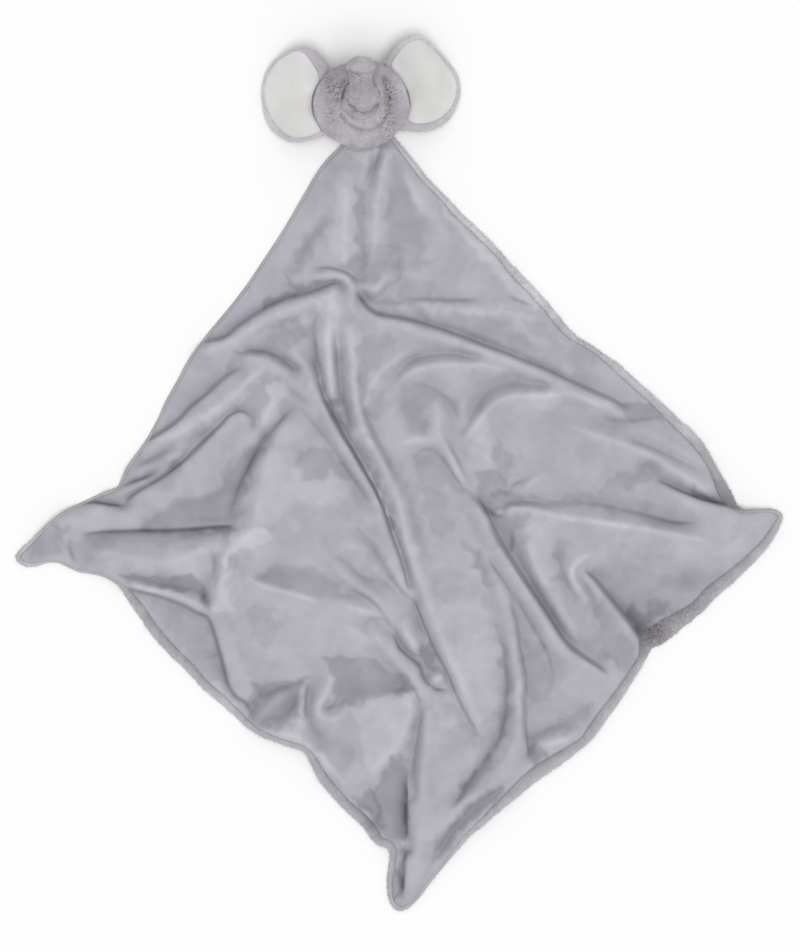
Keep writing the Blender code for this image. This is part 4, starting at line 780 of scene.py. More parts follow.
        (312, 724), (332, 736), (350, 746), (350, 770), (334, 764), (316, 744),
    ]),
    "right_low_shade": (-0.5, 9, [
        (590, 572), (642, 640), (664, 622), (700, 606), (728, 578), (700, 572), (660, 576), (620, 566),
    ]),
    "star_shade": (-0.9, 5, [
        (630, 612), (644, 636), (656, 618), (674, 608), (652, 604), (644, 612), (632, 604),
    ]),
    "deep_start_shade": (-0.6, 4, [
        (479, 498), (500, 490), (526, 501), (500, 514), (526, 512), (524, 524), (512, 545),
        (506, 556), (490, 524),
    ]),
    "s_shade": (-0.35, 5, [
        (556, 546), (574, 542), (562, 562), (570, 588), (584, 600), (600, 640), (622, 668),
        (590, 650), (562, 600),
    ]),
    "run_under_shade": (-0.5, 5, [
        (604, 478), (636, 470), (648, 461), (660, 464), (646, 484), (606, 494),
    ]),
    "run_left_shade": (-0.6, 5, [
        (500, 640), (510, 660), (510, 715), (498, 744), (488, 758), (498, 722), (502, 690),
    ]),
    "run_right_shade": (-0.45, 4, [(523, 640), (544, 648), (552, 686), (546, 702), (526, 690)]),
    "lower_right_shade": (-0.6, 6, [
        (530, 736), (556, 722), (590, 702), (592, 716), (560, 732), (536, 744),
    ]),
    "run_tail_shade": (-0.8, 3, [(486, 757), (497, 758), (476, 784), (456, 802), (466, 782)]),
    "tip_band_shade": (-0.6, 4, [
        (496, 786), (502, 794), (470, 822), (448, 848), (434, 860), (438, 838), (466, 808),
    ]),
    "border_low_shade": (-1.0, 4, [(532, 744), (544, 750), (540, 764), (530, 764)]),
    "flap_shade": (-0.8, 3, [(690, 488), (712, 498), (736, 506), (716, 505), (698, 499)]),
    "tip_left_shade": (-0.8, 2.5, [(399, 850), (405, 850), (403, 894), (397, 896)]),
}
PATCH_SOFTNESS = 1.5

# Uneven edges of the brushed patches: length and reach in pixels, and a seed
WAVER_PX = [(30.0, 3.2, 41), (11.0, 1.4, 42)]
WAVER_WAVES = 16
WAVER_SPAN = (0.6, 1.8)

# Small brushed marks all over: length in pixels, how strong they are, and a seed
MOTTLES = [(16.0, 0.04, 43), (40.0, 0.07, 44), (7.0, 0.015, 45)]
MOTTLE_EDGE = 0.35
MOTTLE_BAND = 0.5

# Painted highlight on crests, and painted shade in valleys and under raised edges
USUAL_HIGHLIGHT = 0.05
HIGHLIGHT_LINE_PX = 1.7
SHADE_EDGE_PX = 1.4
SHADE_END_PX = 8.0
SHADE_FALL = 1.6
TONE_AND_LIGHT_SPAN = (-3.0, 1.0)
TONE_AND_LIGHT_RIM_PX = 8.0
RELIEF_HIGHLIGHT_SHARE = 0.16
RELIEF_SHADE_SHARE = 0.32
CLIFF_PX = 3.0
TUCK_END_PX = 16.0
TUCK_REACH_PX = (3.0, 14.0)
TUCK_HEIGHT_MM = 12.0

# Blanket's layers and the rolled border: share of the way from seam to rim, and its height in
# millimetres where the border is wide and where it is thin
SEAM_DIP = 0.5 * MM
BORDER_THIN_PX = 2.6
BORDER_WIDE_PX = 4.0
LAYER_ROOM = 0.4 * MM
FLOOR_ROOM = 0.3 * MM
UNDER_REACH = 4
BORDER_ROLL = [
    (0.02, 4.4, 5.2), (0.07, 5.3, 5.3), (0.18, 6.0, 5.3), (0.38, 6.3, 5.1), (0.58, 6.0, 4.7),
    (0.78, 5.1, 3.9), (0.92, 3.8, 2.9), (1.00, 2.3, 1.8), (0.97, 1.0, 0.8), (0.86, 0.3, 0.3),
]

# Border's painted shade in pockets and hollows, and painted light: middle and reach in pixels, and how
# dark; below 0 is lighter
BORDER_SHADES_PX = [
    (732, 494, 22, 0.7), (652, 638, 20, 0.8), (376, 816, 16, 0.8), (545, 752, 12, 0.5),
        (690, 600, 26, 0.2), (260, 350, 90, 0.25), (460, 220, 50, -0.7), (532, 296, 30, -0.8),
        (230, 704, 26, -0.4),
        (612, 362, 24, -0.4), (38, 552, 16, -0.5), (412, 160, 20, -0.5), (648, 388, 30, -0.4),
        (688, 430, 24, -0.5),
    (568, 330, 26, -0.3),
]
# Painted shade along the seam's groove, and painted light on the border's outer side
BORDER_SEAM_SHADE = 0.3
BORDER_RIM_SHADE = -0.35
# Matted knots in the border's pile
BORDER_MATTED = 0.08
BORDER_MATTED_PX = [(694, 604, 34, 0.3), (658, 634, 18, 0.3)]

# Head
HEAD_CENTRE_PX = (361, 105)
HEAD_CENTRE = (
    (HEAD_CENTRE_PX[0] - MIDDLE_PX[0]) * PER_PX, (MIDDLE_PX[1] - HEAD_CENTRE_PX[1]) * PER_PX,
)
HEAD_WIDTH = 117 * MM
HEAD_LENGTH = 105 * MM
FACE_DEPTH = 48 * MM
NAPE_DEPTH = 36 * MM
HEAD_SEAM = NAPE_DEPTH - 0.5 * MM
HEAD_MIDDLE = np.array([*HEAD_CENTRE, HEAD_SEAM])
HEAD_FULLNESS = 2.25
HEAD_SIDES = 128
HEAD_RINGS = 40
PILE_INSET = 2.0 * MM
LUMP_WAVES = 24
LUMP_SPAN = (0.7, 1.4)
HEAD_LUMP = 45 * MM
HEAD_LUMP_HEIGHT = 0.7 * MM
HEAD_SEED = 3
HEAD_SEAM_PULL = 0.03
SEAM_ROOM = 0.2 * MM

# Head's creases and rolls: line in pixels, its half width in pixels, and its height in millimetres
HEAD_FORMS = [
    (((330, 112), (335, 125)), 9.0, 1.6),
    (((392, 112), (388, 126)), 9.0, 1.6),
    (((352, 135), (372, 135)), 8.0, 1.5),
    ((
        (345, 103), (341, 112), (346, 122), (356, 128), (366, 130), (378, 126), (386, 117), (389, 106),
    ), 2.4, -2.2),
    (((343, 82), (341, 92), (338, 100)), 3.5, -2.5),
    (((384, 80), (389, 95), (390, 108)), 4.0, -2.5),
    (((350, 143), (361, 147.5), (373, 143.5)), 1.3, -2.0),
]

# Room without pile at the ears' roots: its height over the seam, and its reach from the middle
ROOT_CLEAR = (9 * MM, 42 * MM)

# Share of the pile's room that is bare round the trunk's seat
SEAT_BARE = 0.4

# Painted light and shade on head and trunk, the head's sides lighter: middle and reach in pixels, and how
# dark; below 0 is lighter
HEAD_SHADES_PX = [
    (314, 104, 11, -0.7), (317, 87, 8, -0.6), (319, 122, 8, -0.6), (405, 86, 9, -1.1), (398, 74, 7, -0.5),
        (407, 102, 7, -0.4), (335, 88, 8, 0.4), (342, 110, 5, -0.6), (345, 138, 9, -0.35),
        (362, 140, 8, -0.15),
        (380, 138, 7, 0.15), (395, 130, 8, -0.25), (350, 127, 6, -0.3), (372, 129, 7, -0.3),
        (386, 100, 7, 0.25),
]
TRUNK_SHADES_PX = [
    (362, 85, 10, 0.35), (355, 97, 10, 0.25), (350, 115, 6, 0.45), (357, 75, 5, 0.35), (362, 60, 6, -0.5),
    (372, 117, 6, 0.15), (350, 126, 5, -0.3), (372, 128, 6, -0.3),
]

# Matted plush beside the trunk: middle, and reach across and along, in pixels
BASE_MATTED = 0.25
MATTED_PX = [(331, 88, 12, 16), (333, 116, 10, 14), (391, 92, 11, 18), (388, 124, 12, 16)]

# Dark knots in matted pile: their size, and how dark they are
SPECKS = (2.4 * MM, 0.65)

# How much light the pile takes from above at its sides, how strong the painted shade and light on plush is,
# and how deep a crease is to be painted fully dark
PILE_GLOW = 1.0
SKIN_GLOW = 1.0
CREASE_SHADE = 0.5
FULL_CREASE_MM = 3.2

# Trunk
TRUNK_BASE = np.array([-0.04626, 0.45646, 0.07934])
TRUNK_BALL = 25 * MM
TRUNK_LENGTH = 54 * MM
TRUNK_BASE_LEAN = math.radians(25)
TRUNK_TIP_LEAN = math.radians(78)
TRUNK_BALL_ANGLES = [math.radians(a) for a in (-65, -45, -25, -8)]
TRUNK_RING_SHARES = [
    (0.06, 0.96), (0.15, 0.80), (0.21, 0.84), (0.31, 0.63), (0.37, 0.66), (0.46, 0.54),
    (0.62, 0.50), (0.76, 0.54), (0.86, 0.66), (0.96, 0.68), (1.05, 0.60), (1.12, 0.40),
]
TRUNK_TIP_SHARE = 1.15
TRUNK_END_SHARE = 0.04
TRUNK_INSET_GAIN = 4
TRUNK_SIDES = 72
TRUNK_STEP = 1.3 * MM
TRUNK_PILE_INSET = 1.5 * MM
TRUNK_LUMP = 18 * MM
TRUNK_LUMP_HEIGHT = 0.5 * MM
TRUNK_SEED = 5
TRUNK_FORMS = [
    (((350, 104.5), (356, 110.5), (363, 112.5), (371, 110.5), (377, 104)), 1.9, -3.4),
    (((346, 79), (343, 88), (342, 97)), 3.0, -3.5),
    (((377, 79), (381, 89), (384, 99)), 3.2, -3.0),
    (((350, 70), (360, 74), (378, 69)), 1.4, -2.0),
    (((360, 122), (368, 125), (378, 120)), 1.5, -2.4),
    (((379, 88), (383, 100), (384, 111), (380, 118)), 1.5, -2.2),
    (((347, 90), (343, 99), (342, 108), (347, 117)), 1.5, -2.0),
    (((348, 98), (349, 104), (355, 106)), 1.3, -1.6),
    (((355, 72), (362, 78), (359, 84)), 1.1, -1.0),
]

# Ears
EAR_LENGTH = 117 * MM
EAR_TOP_TO_BOTTOM_PX = 96
EAR_EDGE = 4.0 * MM
EAR_BACK_PLUSH = 3.6 * MM
EAR_LINING_CLOTH = 2.8 * MM
EAR_ROOT_HEIGHT = 31 * MM
EAR_DROP_REACH = 56 * MM
EAR_CROWN = 1.6 * MM
ROOT_ROOM = 0.4 * MM
EAR_ROOM = 0.3 * MM
ROOT_POINTS = 8
EAR_SPOKES = 160
EAR_STEP = 4.0 * MM
EAR_ROOT_BAND = 0.3 * MM
EAR_ROOT_LEAST = 0.4 * MM
EAR_ROOT_REACH = 5.0 * MM
EAR_LEAST_BAND = 0.5 * MM
PILE_THIN = 1.2 * MM
EAR_LUMP = 34 * MM
EAR_LUMP_HEIGHT = 0.35 * MM
EAR_SEED = 9

# Rolled edge of an ear: share of the way from its rim to the lining, height as a share of its
# half thickness, and how much of the pile's room it leaves
EAR_HALF = math.sqrt(0.5)
EAR_ROLL = (
    (1.0, -1.0, 0.0), (0.5, -0.97, 0.0), (0.0, -EAR_HALF, 1.0), (0.0, 0.0, 0.6),
    (0.0, EAR_HALF, 1.0), (0.35, 1.0, 0.0), (0.7, 1.0, 0.0), (0.95, 0.9, 0.0),
)
EAR_FURRED_RINGS = (6, 11)
DISC_SHARES = (0.25, 0.5, 0.75)

# Rings of the lining as shares of its reach: under it, at its edge with their lift, and over it
LINING_UNDER = (0.3, 0.6, 0.85, 0.985)
LINING_EDGE = ((1.0, -0.5 * MM), (0.99, 0.0), (0.95, 0.2 * MM), (0.88, 0.4 * MM))
LINING_OVER = (0.8, 0.7, 0.6, 0.5, 0.4, 0.3, 0.2, 0.1)
LINING_RISE = 0.3 * MM

# Painted shade on the ears near the head, on backs and linings, and lighter places: middle and reach in
# pixels, and how dark; below 0 is lighter
EAR_USUAL_SHADE = -1.1
EAR_SHADES_PX = [
    (317, 58, 13, 1.1), (323, 68, 7, 0.9), (388, 60, 14, 1.1), (396, 48, 9, 0.3),
    (432, 128, 24, 0.3), (403, 130, 12, 1.3), (312, 139, 20, 0.3),
]
LINING_SHADES_PX = [
    (408, 62, 16, 0.25), (412, 88, 14, 0.25), (425, 108, 12, 0.15), (300, 110, 14, 0.15),
    (312, 88, 8, -0.3), (408, 118, 7, 0.25),
]
LEFT_EAR_PX = [
    (330, 72), (323, 60), (316, 52), (307, 48), (296, 50), (283, 56), (270, 67), (264, 80),
    (262, 96), (264, 112), (269, 126), (278, 136), (294, 143), (312, 141), (327, 135),
]
LEFT_LINING_PX = [
    (325, 84), (318, 73), (312, 63), (306, 55), (297, 51), (286, 56), (274, 65), (267, 77),
    (264.5, 88), (265, 100), (268.5, 112), (275, 124), (285, 134), (297, 138.5), (311, 137),
    (325, 131),
]
RIGHT_EAR_PX = [
    (384, 66), (388, 56), (395, 47), (407, 39), (421, 38), (437, 52), (454, 70), (460, 86),
    (459, 100), (454, 113), (445, 124), (433, 131), (419, 133), (404, 131), (394, 133),
]
RIGHT_LINING_PX = [
    (392, 75), (391, 66), (396, 57), (403, 48), (411, 42), (420, 40.5), (430, 47), (441, 58),
    (451, 71), (456.5, 83), (456.5, 93), (453, 105), (446, 114), (436, 121), (422, 124.5),
    (410, 123), (400, 118),
]
EAR_FORMS = [
    (((316, 78), (313, 95), (314, 112)), 6.0, -2.0),
    (((415, 60), (416, 85), (410, 105)), 6.0, -1.2),
]


def floor_spot(x, y, lift=0.0):
    """Places under pixels of the picture for points that stand lift metres over the floor."""
    nearer = 1.0 - lift / CAMERA_HEIGHT
    return (x - MIDDLE_PX[0]) * PER_PX * nearer, (MIDDLE_PX[1] - y) * PER_PX * nearer


# Shape of the blanket


def walked(points, step):
    """Points at even steps along a line of points with any number of columns."""
    points = np.array(points, float)
    runs = np.hypot(*np.diff(points[:, :2], axis=0).T)
    along = np.concatenate([[0.0], np.cumsum(runs)])
    count = max(2, int(round(along[-1] / step)) + 1)
    want = np.linspace(0.0, along[-1], count)
    return np.stack([np.interp(want, along, column) for column in points.T], axis=1)


def smooth_line(points, closed=False, steps=6):
    """Curve through points: cubic, and without the corners of the traced line."""
    points = np.array(points, float)
    if closed:
        a, b, c, d = (np.roll(points, shift, axis=0) for shift in (1, 0, -1, -2))
    else:
        ends = np.vstack([2 * points[0] - points[1], points, 2 * points[-1] - points[-2]])
        a, b, c, d = ends[:-3], ends[1:-2], ends[2:-1], ends[3:]
    rows = []
    for t in np.arange(steps) / steps:
        rows.append(0.5 * (
            2 * b + (c - a) * t + (2 * a - 5 * b + 4 * c - d) * t * t
            + (3 * b - a - 3 * c + d) * t ** 3
        ))
    curve = np.stack(rows, axis=1).reshape(-1, points.shape[1])
    return curve if closed else np.vstack([curve, points[-1:]])


def turn_of(loop):
    """1 or -1 for the way in which a closed loop of pixels runs round."""
    area = np.sum(loop[:, 0] * np.roll(loop[:, 1], -1) - loop[:, 1] * np.roll(loop[:, 0], -1))
    return 1.0 if area > 0 else -1.0


def inwards(loop):
    """Unit directions toward the inside of a closed loop, in pixels."""
    along = np.roll(loop, -1, axis=0) - np.roll(loop, 1, axis=0)
    along /= np.maximum(np.hypot(*along.T), 1e-9)[:, None]
    return np.stack([-along[:, 1], along[:, 0]], axis=1) * turn_of(loop)


def eased(loop, rounds):
    """Closed loop of values with its sudden changes eased."""
    for _ in range(rounds):
        loop = (np.roll(loop, 1, axis=0) + 2 * loop + np.roll(loop, -1, axis=0)) / 4
    return loop


def rim_and_seam():
    """Blanket's rim and the seam inside it, as even closed loops of pixels."""
    curve = smooth_line(RIM_PX, closed=True)
    rim = walked(np.vstack([curve, curve[:1]]), RIM_STEP_PX)[:-1]
    width = np.maximum(rim[:, 2], 2 * FLUFF_PX)
    rim = rim[:, :2]
    inward = eased(inwards(rim), 4)
    inward /= np.hypot(*inward.T)[:, None]
    seam = eased(rim + inward * width[:, None], 2)
    furry = np.clip((width - BORDER_THIN_PX) / BORDER_WIDE_PX, 0.1, 1.0)
    return rim + inward * (FLUFF_PX * furry)[:, None], seam


def spectrum(side=GRID_SIDE, step=GRID_PX):
    """Squared wave numbers of a square grid, in pixels; the solver's, unless told otherwise."""
    rows = 2 * np.pi * np.fft.fftfreq(side, d=step)
    columns = 2 * np.pi * np.fft.rfftfreq(side, d=step)
    return rows[:, None] ** 2 + columns[None, :] ** 2


def through_waves(field, factor):
    """Field whose waves are each multiplied by a factor."""
    return np.fft.irfft2(np.fft.rfft2(field) * factor, s=field.shape)


def wave_band(waves, length, width):
    """Share of each wave that is kept, for waves of about one length."""
    return np.exp(-((np.sqrt(waves) * length / (2 * np.pi) - 1.0) / width) ** 2)


def ripples(waves):
    """Slight unevenness of soft cloth, in millimetres, the same at every run."""
    chance = np.random.default_rng(RIPPLE_SEED)
    total = np.zeros((GRID_SIDE, GRID_SIDE))
    for length, height in RIPPLES_PX_MM:
        band = wave_band(waves, length, RIPPLE_BAND)
        noise = through_waves(chance.standard_normal(total.shape), band)
        total += noise * height / noise.std()
    return total


def across(line):
    """Unit directions square to an open line: below it where it runs left to right."""
    along = np.gradient(line[:, :2], axis=0)
    along /= np.hypot(*along.T)[:, None]
    return np.stack([-along[:, 1], along[:, 0]], axis=1)


def end_ease(line, reach):
    """Share from 0 at the ends of an even line to 1 from reach pixels on."""
    step = np.hypot(*(line[1, :2] - line[0, :2]))
    place = np.arange(len(line))
    return np.clip(np.minimum(place, place[::-1]) * step / reach, 0.0, 1.0)


def traced_heights(rim):
    """Heights of the cloth over the grid: the smoothest surface through the traced lines."""
    pull = np.zeros((GRID_SIDE, GRID_SIDE))
    goal = np.zeros_like(pull)

    def mark(points, strength):
        column = np.round((points[:, 0] - GRID_FROM_PX[0]) / GRID_PX).astype(int)
        row = np.round((points[:, 1] - GRID_FROM_PX[1]) / GRID_PX).astype(int)
        np.add.at(pull, (row, column), strength)
        np.add.at(goal, (row, column), strength * points[:, 2])

    marks = []
    for table in (CRESTS_PX, VALLEYS_PX):
        for points in table.values():
            marks.append(walked(smooth_line(points), GRID_PX / 2))
    for name, (side, rise, *_) in TUCKS.items():
        line = walked(smooth_line(VALLEYS_PX[name]), GRID_PX / 2)
        ends = end_ease(line, TUCK_END_PX)
        edge = line.copy()
        edge[:, :2] += across(line) * side * CLIFF_PX
        edge[:, 2] += (rise - edge[:, 2]).clip(0) * ends
        marks.append(edge[ends > LEAST_EDGE_RISE])
    traced = np.vstack(marks)
    traced[:, 2] *= HEIGHT_SHARE
    mark(traced, LINE_PULL / 2)
    for x, y in rim[::2]:
        if np.min(np.hypot(traced[:, 0] - x, traced[:, 1] - y)) > RIM_MARK_AWAY_PX:
            mark(np.array([[x, y, RIM_MARK_MM]]), RIM_PULL)
    waves = spectrum()
    stiff = BEND_REACH_PX ** 2 * waves ** 2 + waves + 1.0 / SINK_REACH_PX ** 2
    ease = 1.0 / (SOLVER_PULL + stiff)
    height = np.zeros_like(pull)
    left = goal.copy()
    step = through_waves(left, ease)
    size = np.sum(left * step)
    for _ in range(SOLVER_STEPS):
        pushed = pull * step + through_waves(step, stiff)
        share = size / np.sum(step * pushed)
        height += share * step
        left -= share * pushed
        turned = through_waves(left, ease)
        new_size = np.sum(left * turned)
        step = turned + step * new_size / size
        size = new_size
    height += ripples(waves) * np.clip(height / RIPPLE_FULL_MM, RIPPLE_LEAST, 1.0)
    return rolled(np.sqrt(np.maximum(height, 0.0) ** 2 + LEAST_HEIGHT_SQUARED))


def rolled(heights):
    """Heights of a thick soft cloth over a creased one: round crests and narrow valleys."""
    side = GRID_SIDE * GRID_PX
    x, y = np.meshgrid(np.arange(side), np.arange(side))
    spots = np.stack([x.ravel() + GRID_FROM_PX[0], y.ravel() + GRID_FROM_PX[1]], axis=1)
    fine = looked_up(heights, spots).reshape(side, side)
    thick = fine.copy()
    for i in range(-ROLL_PX, ROLL_PX + 1):
        for j in range(-ROLL_PX, ROLL_PX + 1):
            left = ROLL_PX ** 2 - i * i - j * j
            if left > 0:
                drop = (ROLL_PX - math.sqrt(left)) * PER_PX / MM
                thick = np.maximum(thick, np.roll(fine, (i, j), axis=(0, 1)) - drop)
    creases = [(VALLEYS_PX[name], 1.0) for name in TUCKS]
    return np.maximum(thick - drawn(creases, CREASE_PX) * CREASE_MM, LEAST_HEIGHT_MM)


def spread(values, share):
    """Values given evenly along a line, at shares of the way along it."""
    values = np.atleast_1d(values)
    return np.interp(share, np.linspace(0.0, 1.0, len(values)), values)


def drawn(lines, width):
    """Soft lines on the fine grid, from traced ones and their strengths."""
    side = GRID_SIDE * GRID_PX
    field = np.zeros((side, side))
    for points, strength in lines:
        line = walked(smooth_line(points), 0.5)
        spot = np.round(line[:, :2] - GRID_FROM_PX).astype(int)
        strong = spread(strength, np.linspace(0.0, 1.0, len(line))) / 2
        np.add.at(field, (spot[:, 1], spot[:, 0]), end_ease(line, CREASE_END_PX) * strong)
    soft = np.exp(-spectrum(side, 1) * width ** 2 / 2)
    return through_waves(field, soft) * width * math.sqrt(2 * np.pi)


def mottle_and_painted_light_field(heights):
    """Painted shade and highlight over the grid, from about -1 in valleys to 1 on crests, with the nap's
    small marks.
    """
    waves = spectrum(len(heights), 1)
    near = through_waves(heights, np.exp(-waves * CREST_NEAR_PX ** 2 / 2))
    around = through_waves(heights, np.exp(-waves * CREST_AROUND_PX ** 2 / 2))
    nap = np.tanh((near - around) / CREST_SCALE_MM)
    nap *= np.where(nap > 0.0, RELIEF_HIGHLIGHT_SHARE, RELIEF_SHADE_SHARE)
    nap += mottled(waves)
    bright = [(points, PAINTED_CREST_HIGHLIGHTS.get(name, USUAL_HIGHLIGHT)) for name, points in CRESTS_PX.items()]
    nap += drawn(bright, HIGHLIGHT_LINE_PX)
    for width, strengths in PAINTED_CREASE_SHADES.items():
        nap -= drawn([(VALLEYS_PX[name], strength) for name, strength in strengths.items()], width)
    return nap


def looked_up(field, points):
    """Values of a grid field at points in pixels, on the curve through the four nearest rows."""
    step = GRID_PX * GRID_SIDE / len(field)
    x = (points[:, 0] - GRID_FROM_PX[0]) / step
    y = (points[:, 1] - GRID_FROM_PX[1]) / step
    column, row = np.floor(x).astype(int), np.floor(y).astype(int)
    column, row = (np.clip(place, 1, len(field) - 3) for place in (column, row))

    def weights(t):
        return (
            (1 - t) ** 3 / 6, (3 * t ** 3 - 6 * t ** 2 + 4) / 6,
            (-3 * t ** 3 + 3 * t ** 2 + 3 * t + 1) / 6, t ** 3 / 6,
        )

    total = np.zeros(len(points))
    for i, down in enumerate(weights(y - row)):
        for j, across in enumerate(weights(x - column)):
            total += down * across * field[row + i - 1, column + j - 1]
    return total


def beside(points, line):
    """Distance of points from a line, their side of it, its direction there, how far along that
    is, and the line's length."""
    best = np.full(len(points), 1e9)
    side = np.zeros(len(points))
    heading = np.zeros((len(points), 2))
    along = np.zeros(len(points))
    so_far = 0.0
    for a, b in zip(line[:-1, :2], line[1:, :2]):
        run = b - a
        length = np.hypot(*run)
        away = points - a
        t = np.clip(away @ run / length ** 2, 0.0, 1.0)
        distance = np.hypot(*(away - t[:, None] * run).T)
        near = distance < best
        best[near] = distance[near]
        side[near] = np.sign(run[0] * away[near, 1] - run[1] * away[near, 0])
        heading[near] = run / length
        along[near] = so_far + t[near] * length
        so_far += length
    return best, side, heading, along, so_far


def wavered(points, length, reach, seed):
    """Points moved about by soft random waves, for uneven edges of what is looked up there."""
    chance = np.random.default_rng(seed)
    moved = points.copy()
    for _ in range(WAVER_WAVES):
        wave = chance.normal(size=2)
        wave *= 2 * np.pi / length / np.linalg.norm(wave) * chance.uniform(*WAVER_SPAN)
        push = np.sin(points @ wave + chance.uniform(0, 2 * np.pi))
        moved += push[:, None] * chance.normal(size=2) * reach / math.sqrt(WAVER_WAVES)
    return moved


def mottled(waves):
    """Small marks that hands leave in the nap, over the grid, with fairly sharp edges."""
    total = np.zeros(waves.shape[:1] * 2)
    for length, strength, seed in MOTTLES:
        band = wave_band(waves, length, MOTTLE_BAND)
        noise = through_waves(np.random.default_rng(seed).standard_normal(total.shape), band)
        total += np.tanh(noise / noise.std() / MOTTLE_EDGE) * strength
    return total


def patch_shade_and_tone(points):
    """How much lighter or darker points are in the listed patches: painted shade, painted light and brushed
    nap tone.
    """
    for length, reach, seed in WAVER_PX:
        points = wavered(points, length, reach, seed)
    total = np.zeros(len(points))
    for strength, soft, outline in PATCHES_PX.values():
        ring = smooth_line(outline, closed=True, steps=3)
        low, high = ring.min(axis=0) - soft, ring.max(axis=0) + soft
        near = np.all((points > low) & (points < high), axis=1)
        away = beside(points[near], np.vstack([ring, ring[:1]]))[0]
        deep = np.where(inside(points[near], ring), away, -away)
        share = np.clip(0.5 + deep / soft / PATCH_SOFTNESS, 0.0, 1.0)
        total[near] += strength * share * share * (3.0 - 2.0 * share)
    return total


def light_shade_and_tone_at(points, heights, seam):
    """Painted light and shade, with the nap's tone, at points of the plan: darkest in the painted shade of
    a tuck's edge.
    """
    ring = np.vstack([seam[::4], seam[:1]])
    rim_ease = np.clip(beside(points, ring)[0] / TONE_AND_LIGHT_RIM_PX, 0.0, 1.0)
    shade = np.zeros(len(points))
    for name, (raised, _, _, dark, width) in TUCKS.items():
        away, side, _, along, total = beside(points, smooth_line(VALLEYS_PX[name], steps=3))
        reach = np.where(side == raised, SHADE_EDGE_PX, spread(width, along / total))
        ends = np.clip(np.minimum(along, total - along) / SHADE_END_PX, 0.0, 1.0)
        part = spread(dark, along / total) * np.exp(-(away / reach) ** SHADE_FALL) * ends
        shade = np.maximum(shade, part)
    field = looked_up(mottle_and_painted_light_field(heights), points) * rim_ease
    return (field + patch_shade_and_tone(points) - shade).clip(*TONE_AND_LIGHT_SPAN)


def hung_over(points, heights):
    """Points of the plan moved so that raised cloth hangs over the valley beside it."""
    moved = points.copy()
    near, far = TUCK_REACH_PX
    for name, (raised, _, reach, *_) in TUCKS.items():
        line = smooth_line(VALLEYS_PX[name], steps=3)
        away, side, heading, along, total = beside(points, line)
        picked = (side == raised) & (away < far) & (away > 0)
        rise = np.clip(away / near, 0, 1) ** 0.7 * np.clip((far - away) / (far - near), 0, 1) ** 1.5
        ends = np.clip(np.minimum(along, total - along) / TUCK_END_PX, 0.0, 1.0)
        tall = np.clip(heights / TUCK_HEIGHT_MM, 0.0, 1.0)
        toward = np.stack([heading[:, 1], -heading[:, 0]], axis=1) * raised
        push = reach * rise * ends * tall
        moved[picked] += (toward * push[:, None])[picked]
    return moved


def inside(points, loop):
    """Whether each point lies within a closed loop."""
    found = np.zeros(len(points), bool)
    for a, b in zip(loop, np.roll(loop, -1, axis=0)):
        if a[1] == b[1]:
            continue
        across = (a[1] > points[:, 1]) != (b[1] > points[:, 1])
        at = a[0] + (points[:, 1] - a[1]) / (b[1] - a[1]) * (b[0] - a[0])
        found ^= across & (at > points[:, 0])
    return found


def mesh_plan(seam, step, rows):
    """Points and triangles of a cloth in pixels, its rim first; rows follow the traced lines."""
    groups = []
    for lines, offsets in rows:
        for offset in offsets:
            for line in lines:
                curve = walked(smooth_line(line)[:, :2], min(step, ROW_STEP_PX))
                groups.append(curve + across(curve) * offset)
    from_rows = sum(len(group) for group in groups)
    low, high = seam.min(axis=0), seam.max(axis=0)
    row_step = step * math.sqrt(0.75)
    for row in range(int((high[1] - low[1]) / row_step) + 1):
        x = np.arange(low[0] + step / 2 * (row % 2), high[0], step)
        groups.append(np.stack([x, np.full(len(x), low[1] + row * row_step)], axis=1))
    wanted = np.vstack(groups)
    rooms = np.full(len(wanted), step * ROOM_SHARE)
    rooms[:from_rows] = step * ROOM_SHARE if step > 2 * ROW_STEP_PX else ROW_ROOM_PX
    within = inside(wanted, seam)
    wanted, rooms = wanted[within], rooms[within]
    taken = {}
    kept = []

    def free(x, y, room):
        column, row = int(x // step), int(y // step)
        for i in (column - 1, column, column + 1):
            for j in (row - 1, row, row + 1):
                for p, q in taken.get((i, j), ()):
                    if (p - x) ** 2 + (q - y) ** 2 < room * room:
                        return False
        return True

    for x, y in seam.tolist():
        taken.setdefault((int(x // step), int(y // step)), []).append((x, y))
    for (x, y), room in zip(wanted.tolist(), rooms.tolist()):
        if free(x, y, room):
            taken.setdefault((int(x // step), int(y // step)), []).append((x, y))
            kept.append((x, y))
    points = [Vector(p) for p in seam.tolist() + kept]
    ring = [list(range(len(seam)))]
    flat, _, faces, origins, _, _ = delaunay_2d_cdt(points, [], ring, 1, 1e-6)
    place = {source: index for index, sources in enumerate(origins) for source in sources}
    places = np.array([p[:] for p in flat])
    loop = [place[i] for i in range(len(seam))]
    return places, np.array(faces), loop


def laid(plan, heights):
    """Middle of the blanket in space for points of the plan, as the camera's picture has them."""
    lift = looked_up(heights, plan)
    moved = hung_over(plan, lift)
    z = lift * MM
    x, y = floor_spot(moved[:, 0], moved[:, 1], z + CLOTH)
    return np.stack([x, y, z], axis=1)


# Making of pieces


def new_piece(name, points, faces, material):
    """Mesh object with smooth faces, at the origin."""
    mesh = bpy.data.meshes.new(name)
    mesh.from_pydata([tuple(p) for p in points], [], [tuple(int(i) for i in f) for f in faces])
    mesh.validate()
    mesh.shade_smooth()
    mesh.materials.append(material)
    piece = bpy.data.objects.new(name, mesh)
    bpy.context.collection.objects.link(piece)
    return piece


